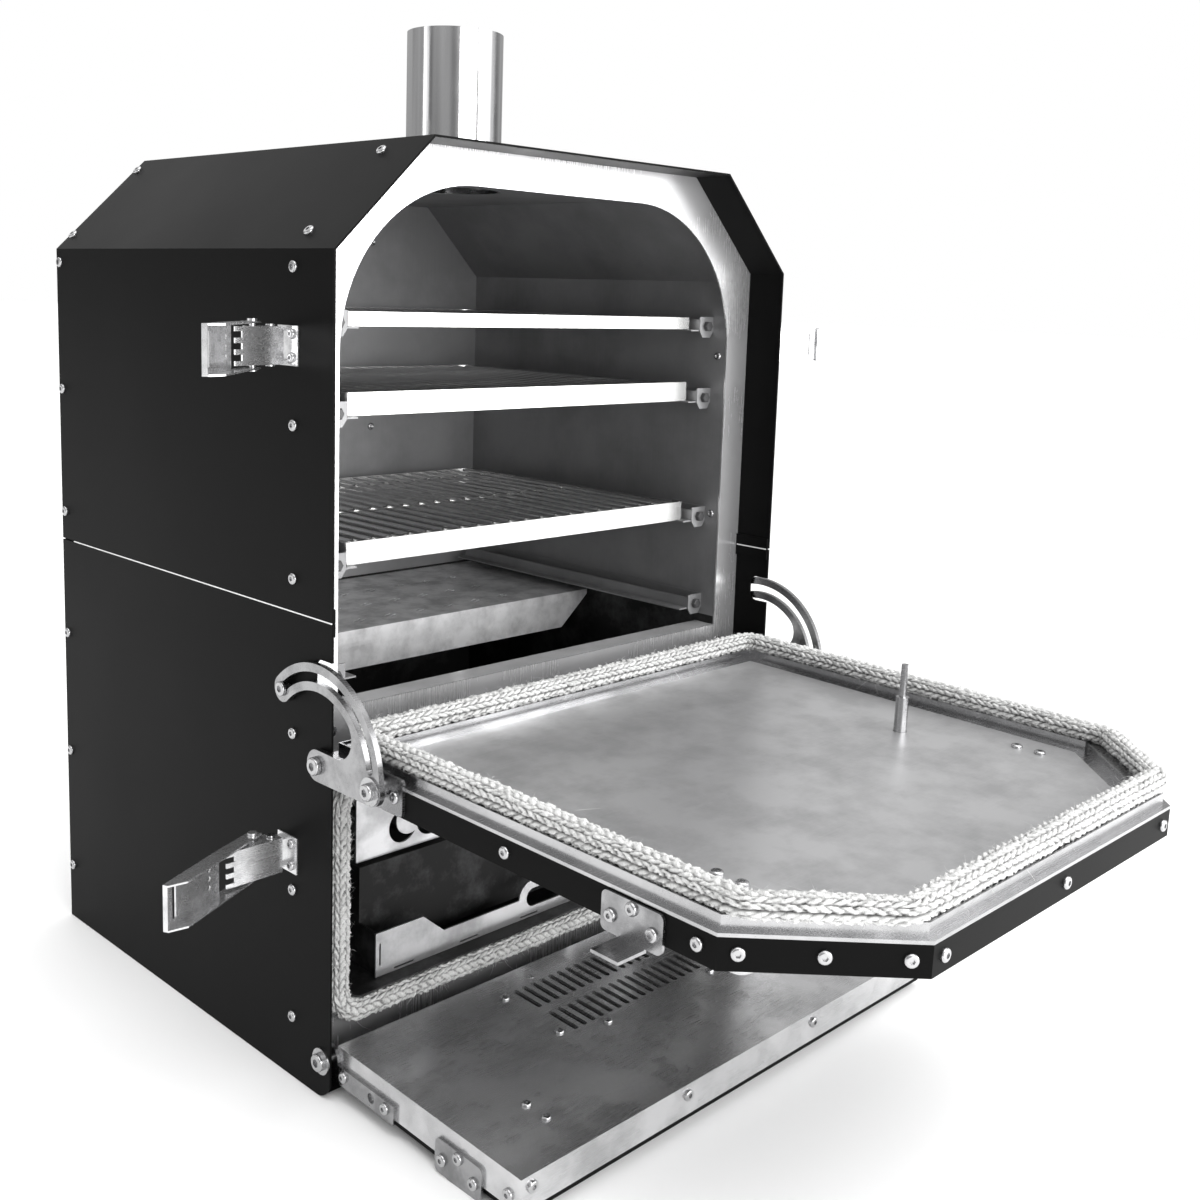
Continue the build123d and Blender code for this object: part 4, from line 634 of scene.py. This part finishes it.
# weld beads where each wire meets its front bar
beads = {"pitch": 0.022, "each": 10, "y": -0.1746, "rackZ": (0.6876, 0.6156, 0.4796), "longMm": 2.6,
         "tallMm": 1.6, "shoulderMm": 1.6, "strayM": 0.0006}
shoulder = beads["tallMm"] * 0.8
beadProfile = [(0, beads["tallMm"]), (beads["shoulderMm"], shoulder), (beads["longMm"], 0.0),
               (beads["shoulderMm"], -shoulder), (0, -beads["tallMm"])]
for rack, z in zip(("top_rack", "middle_rack", "bottom_rack"), beads["rackZ"]):
    rng = np.random.default_rng(21)
    places = [(k * beads["pitch"] + rng.uniform(-beads["strayM"], beads["strayM"]), beads["y"], z)
              for k in range(-beads["each"], beads["each"] + 1)]
    studs(rack + "Welds", places, [np.eye(3)] * len(places), beadProfile, 8, "electropolishedWire", rack)
print("oven fittings made")

# painted highlight: white strips that draw the bright line in the seam between the two jackets, outside and inside
# the rim
seam = {"z": 0.4340, "thickMm": 0.35, "tallMm": 1.1}
seamRuns = {"seamHighlightOuter": (0.2996, -0.2515, 0.2265), "seamHighlightInner": (0.2954, -0.2505, -0.2085)}
boxProfile = [(0, 1), (1, 1), (1, -1), (0, -1)]   # with four steps round, turned by half a step: a box
for name, (x, frontY, backY) in seamRuns.items():
    places = [(side * x, (frontY + backY) / 2, seam["z"]) for side in (-1, 1)]
    frame3 = np.array([alongY * (backY - frontY) / mm / 2 ** 0.5, alongZ * seam["tallMm"] / 2 ** 0.5,
                       alongX * seam["thickMm"]])
    studs(name, places, [frame3] * 2, boxProfile, 4, "seamHighlightStrip", "cabinet", smooth=False,
          phase=np.pi / 4)

# ---- the thermometer's scale: a ring of short bars, every third one long
dial = {"x": 172.0, "y": -274.0, "level": -25.75, "radius": 25.0, "bars": 36, "longEvery": 3, "wideMm": 0.9,
        "longMm": 4.6, "shortMm": 2.6, "halfThickMm": 0.12}
barProfile = [(radius, height * dial["halfThickMm"]) for radius, height in boxProfile]
for name, isLong, reach in (("dialBarsLong", True, dial["longMm"]), ("dialBarsShort", False, dial["shortMm"])):
    places, frames = [], []
    for k in range(dial["bars"]):
        if (k % dial["longEvery"] == 0) == isLong:
            a = 2 * np.pi * k / dial["bars"]
            r = dial["radius"] - reach / 2
            places.append(onUpperDoor(dial["x"] + r * cos(a), dial["y"] + r * sin(a), dial["level"]))
            outward = cos(a) * alongX + sin(a) * doorAway
            across = np.cross(doorUnder, outward)
            frames.append(np.array([outward * reach / 2 ** 0.5, across * dial["wideMm"] / 2 ** 0.5, doorUnder]))
    studs(name, places, frames, barProfile, 4, "tickEnamel", "upper_door", smooth=False,
          phase=np.pi / 4)
print("dial made")

# ---- floor, light and camera
stage = {
    "floorHalf": 40.0,
    "floorLevel": -0.0005,
    "floorColour": "#fafafa",
    "zenith": 0.95,
    "horizon": 0.28,
    "zenithFrom": 0.8,    # the height on the sky's unit ball where the light is full
    "sunStrength": 1.9,
    "sunSpread": 60.0,
    "sunTurn": (14.0, 2.0, 0.0),
}
floorMesh = bpy.data.meshes.new("floor")
half, level = stage["floorHalf"], stage["floorLevel"]
floorMesh.from_pydata([(-half, -half, level), (half, -half, level), (half, half, level), (-half, half, level)], [],
                      [(0, 1, 2, 3)])
floor = bpy.data.objects.new("floor", floorMesh)
scene.collection.objects.link(floor)
floorMaterial, floorTree, floorShader = newMaterial("paleFloor")
floorShader.inputs["Base Color"].default_value = linear(stage["floorColour"])
floorShader.inputs["Roughness"].default_value = 0.8
floorMesh.materials.append(floorMaterial)

# the studio's air: white where it is looked at, and for light a soft gradient that is darkest at the horizon
world = bpy.data.worlds.new("studio")
scene.world = world
world.use_nodes = True
worldTree = world.node_tree
backdrop = worldTree.nodes["Background"]
direction = addNode(worldTree, "ShaderNodeTexCoord").outputs["Generated"]
upward = addNode(worldTree, "ShaderNodeSeparateXYZ", {"Vector": direction}).outputs["Z"]
glow = addNode(worldTree, "ShaderNodeMapRange", {"Value": upward, "From Min": 0.0,
                                                 "From Max": stage["zenithFrom"], "To Min": stage["horizon"],
                                                 "To Max": stage["zenith"]})
seen = addNode(worldTree, "ShaderNodeLightPath").outputs["Is Camera Ray"]
strength = addNode(worldTree, "ShaderNodeMapRange", {"Value": seen, "To Min": glow.outputs["Result"],
                                                     "To Max": 1.0})
worldTree.links.new(strength.outputs["Result"], backdrop.inputs["Strength"])
backdrop.inputs["Color"].default_value = linear("#ffffff")
scene.view_settings.view_transform = "Standard"

sun = bpy.data.lights.new("overheadSilk", "SUN")
sun.energy = stage["sunStrength"]
sun.angle = radians(stage["sunSpread"])
overhead = bpy.data.objects.new("overheadSilk", sun)
scene.collection.objects.link(overhead)
overhead.rotation_euler = [radians(angle) for angle in stage["sunTurn"]]

softboxes = {
    # name: place, aim, width, height, watts
    "frontBox": ((-0.4, -3.0, 0.9), (0.0, 0.0, 0.5), 2.2, 1.2, 55.0),
    "rightBox": ((1.5, -2.5, 1.1), (0.0, -0.1, 0.6), 1.2, 1.8, 42.0),
    "sideBox": ((2.7, -2.0, 0.9), (0.2, -0.2, 0.5), 1.8, 1.8, 11.0),
    "backBox": ((0.2, 3.2, 2.5), (0.0, 0.0, 0.8), 3.0, 1.6, 10.0),
    "latchBox": ((-3.2, 1.2, 0.9), (-0.3, 0.0, 0.5), 0.9, 1.6, 9.0),
}
for name, (place, aim, wide, high, watts) in softboxes.items():
    light = bpy.data.lights.new(name, "AREA")
    light.shape = "RECTANGLE"
    light.size, light.size_y, light.energy = wide, high, watts
    lamp = bpy.data.objects.new(name, light)
    scene.collection.objects.link(lamp)
    lamp.location = place
    away = np.array(place) - np.array(aim)
    away /= np.linalg.norm(away)
    lamp.rotation_euler = (np.arccos(away[2]), 0.0, np.arctan2(away[0], -away[1]))

view = {
    "place": (-0.96297, -1.20017, 0.71315),
    "turn": (81.590, -1.840, -45.137),
    "lens": 41.68,
    "shift": (0.0118, -0.0819),
}
cameraData = bpy.data.cameras.new("camera")
cameraData.sensor_width = 36.0
cameraData.lens = view["lens"]
cameraData.shift_x, cameraData.shift_y = view["shift"]
camera = bpy.data.objects.new("camera", cameraData)
scene.collection.objects.link(camera)
camera.location = view["place"]
camera.rotation_euler = [radians(angle) for angle in view["turn"]]
scene.camera = camera

print("scene ready")
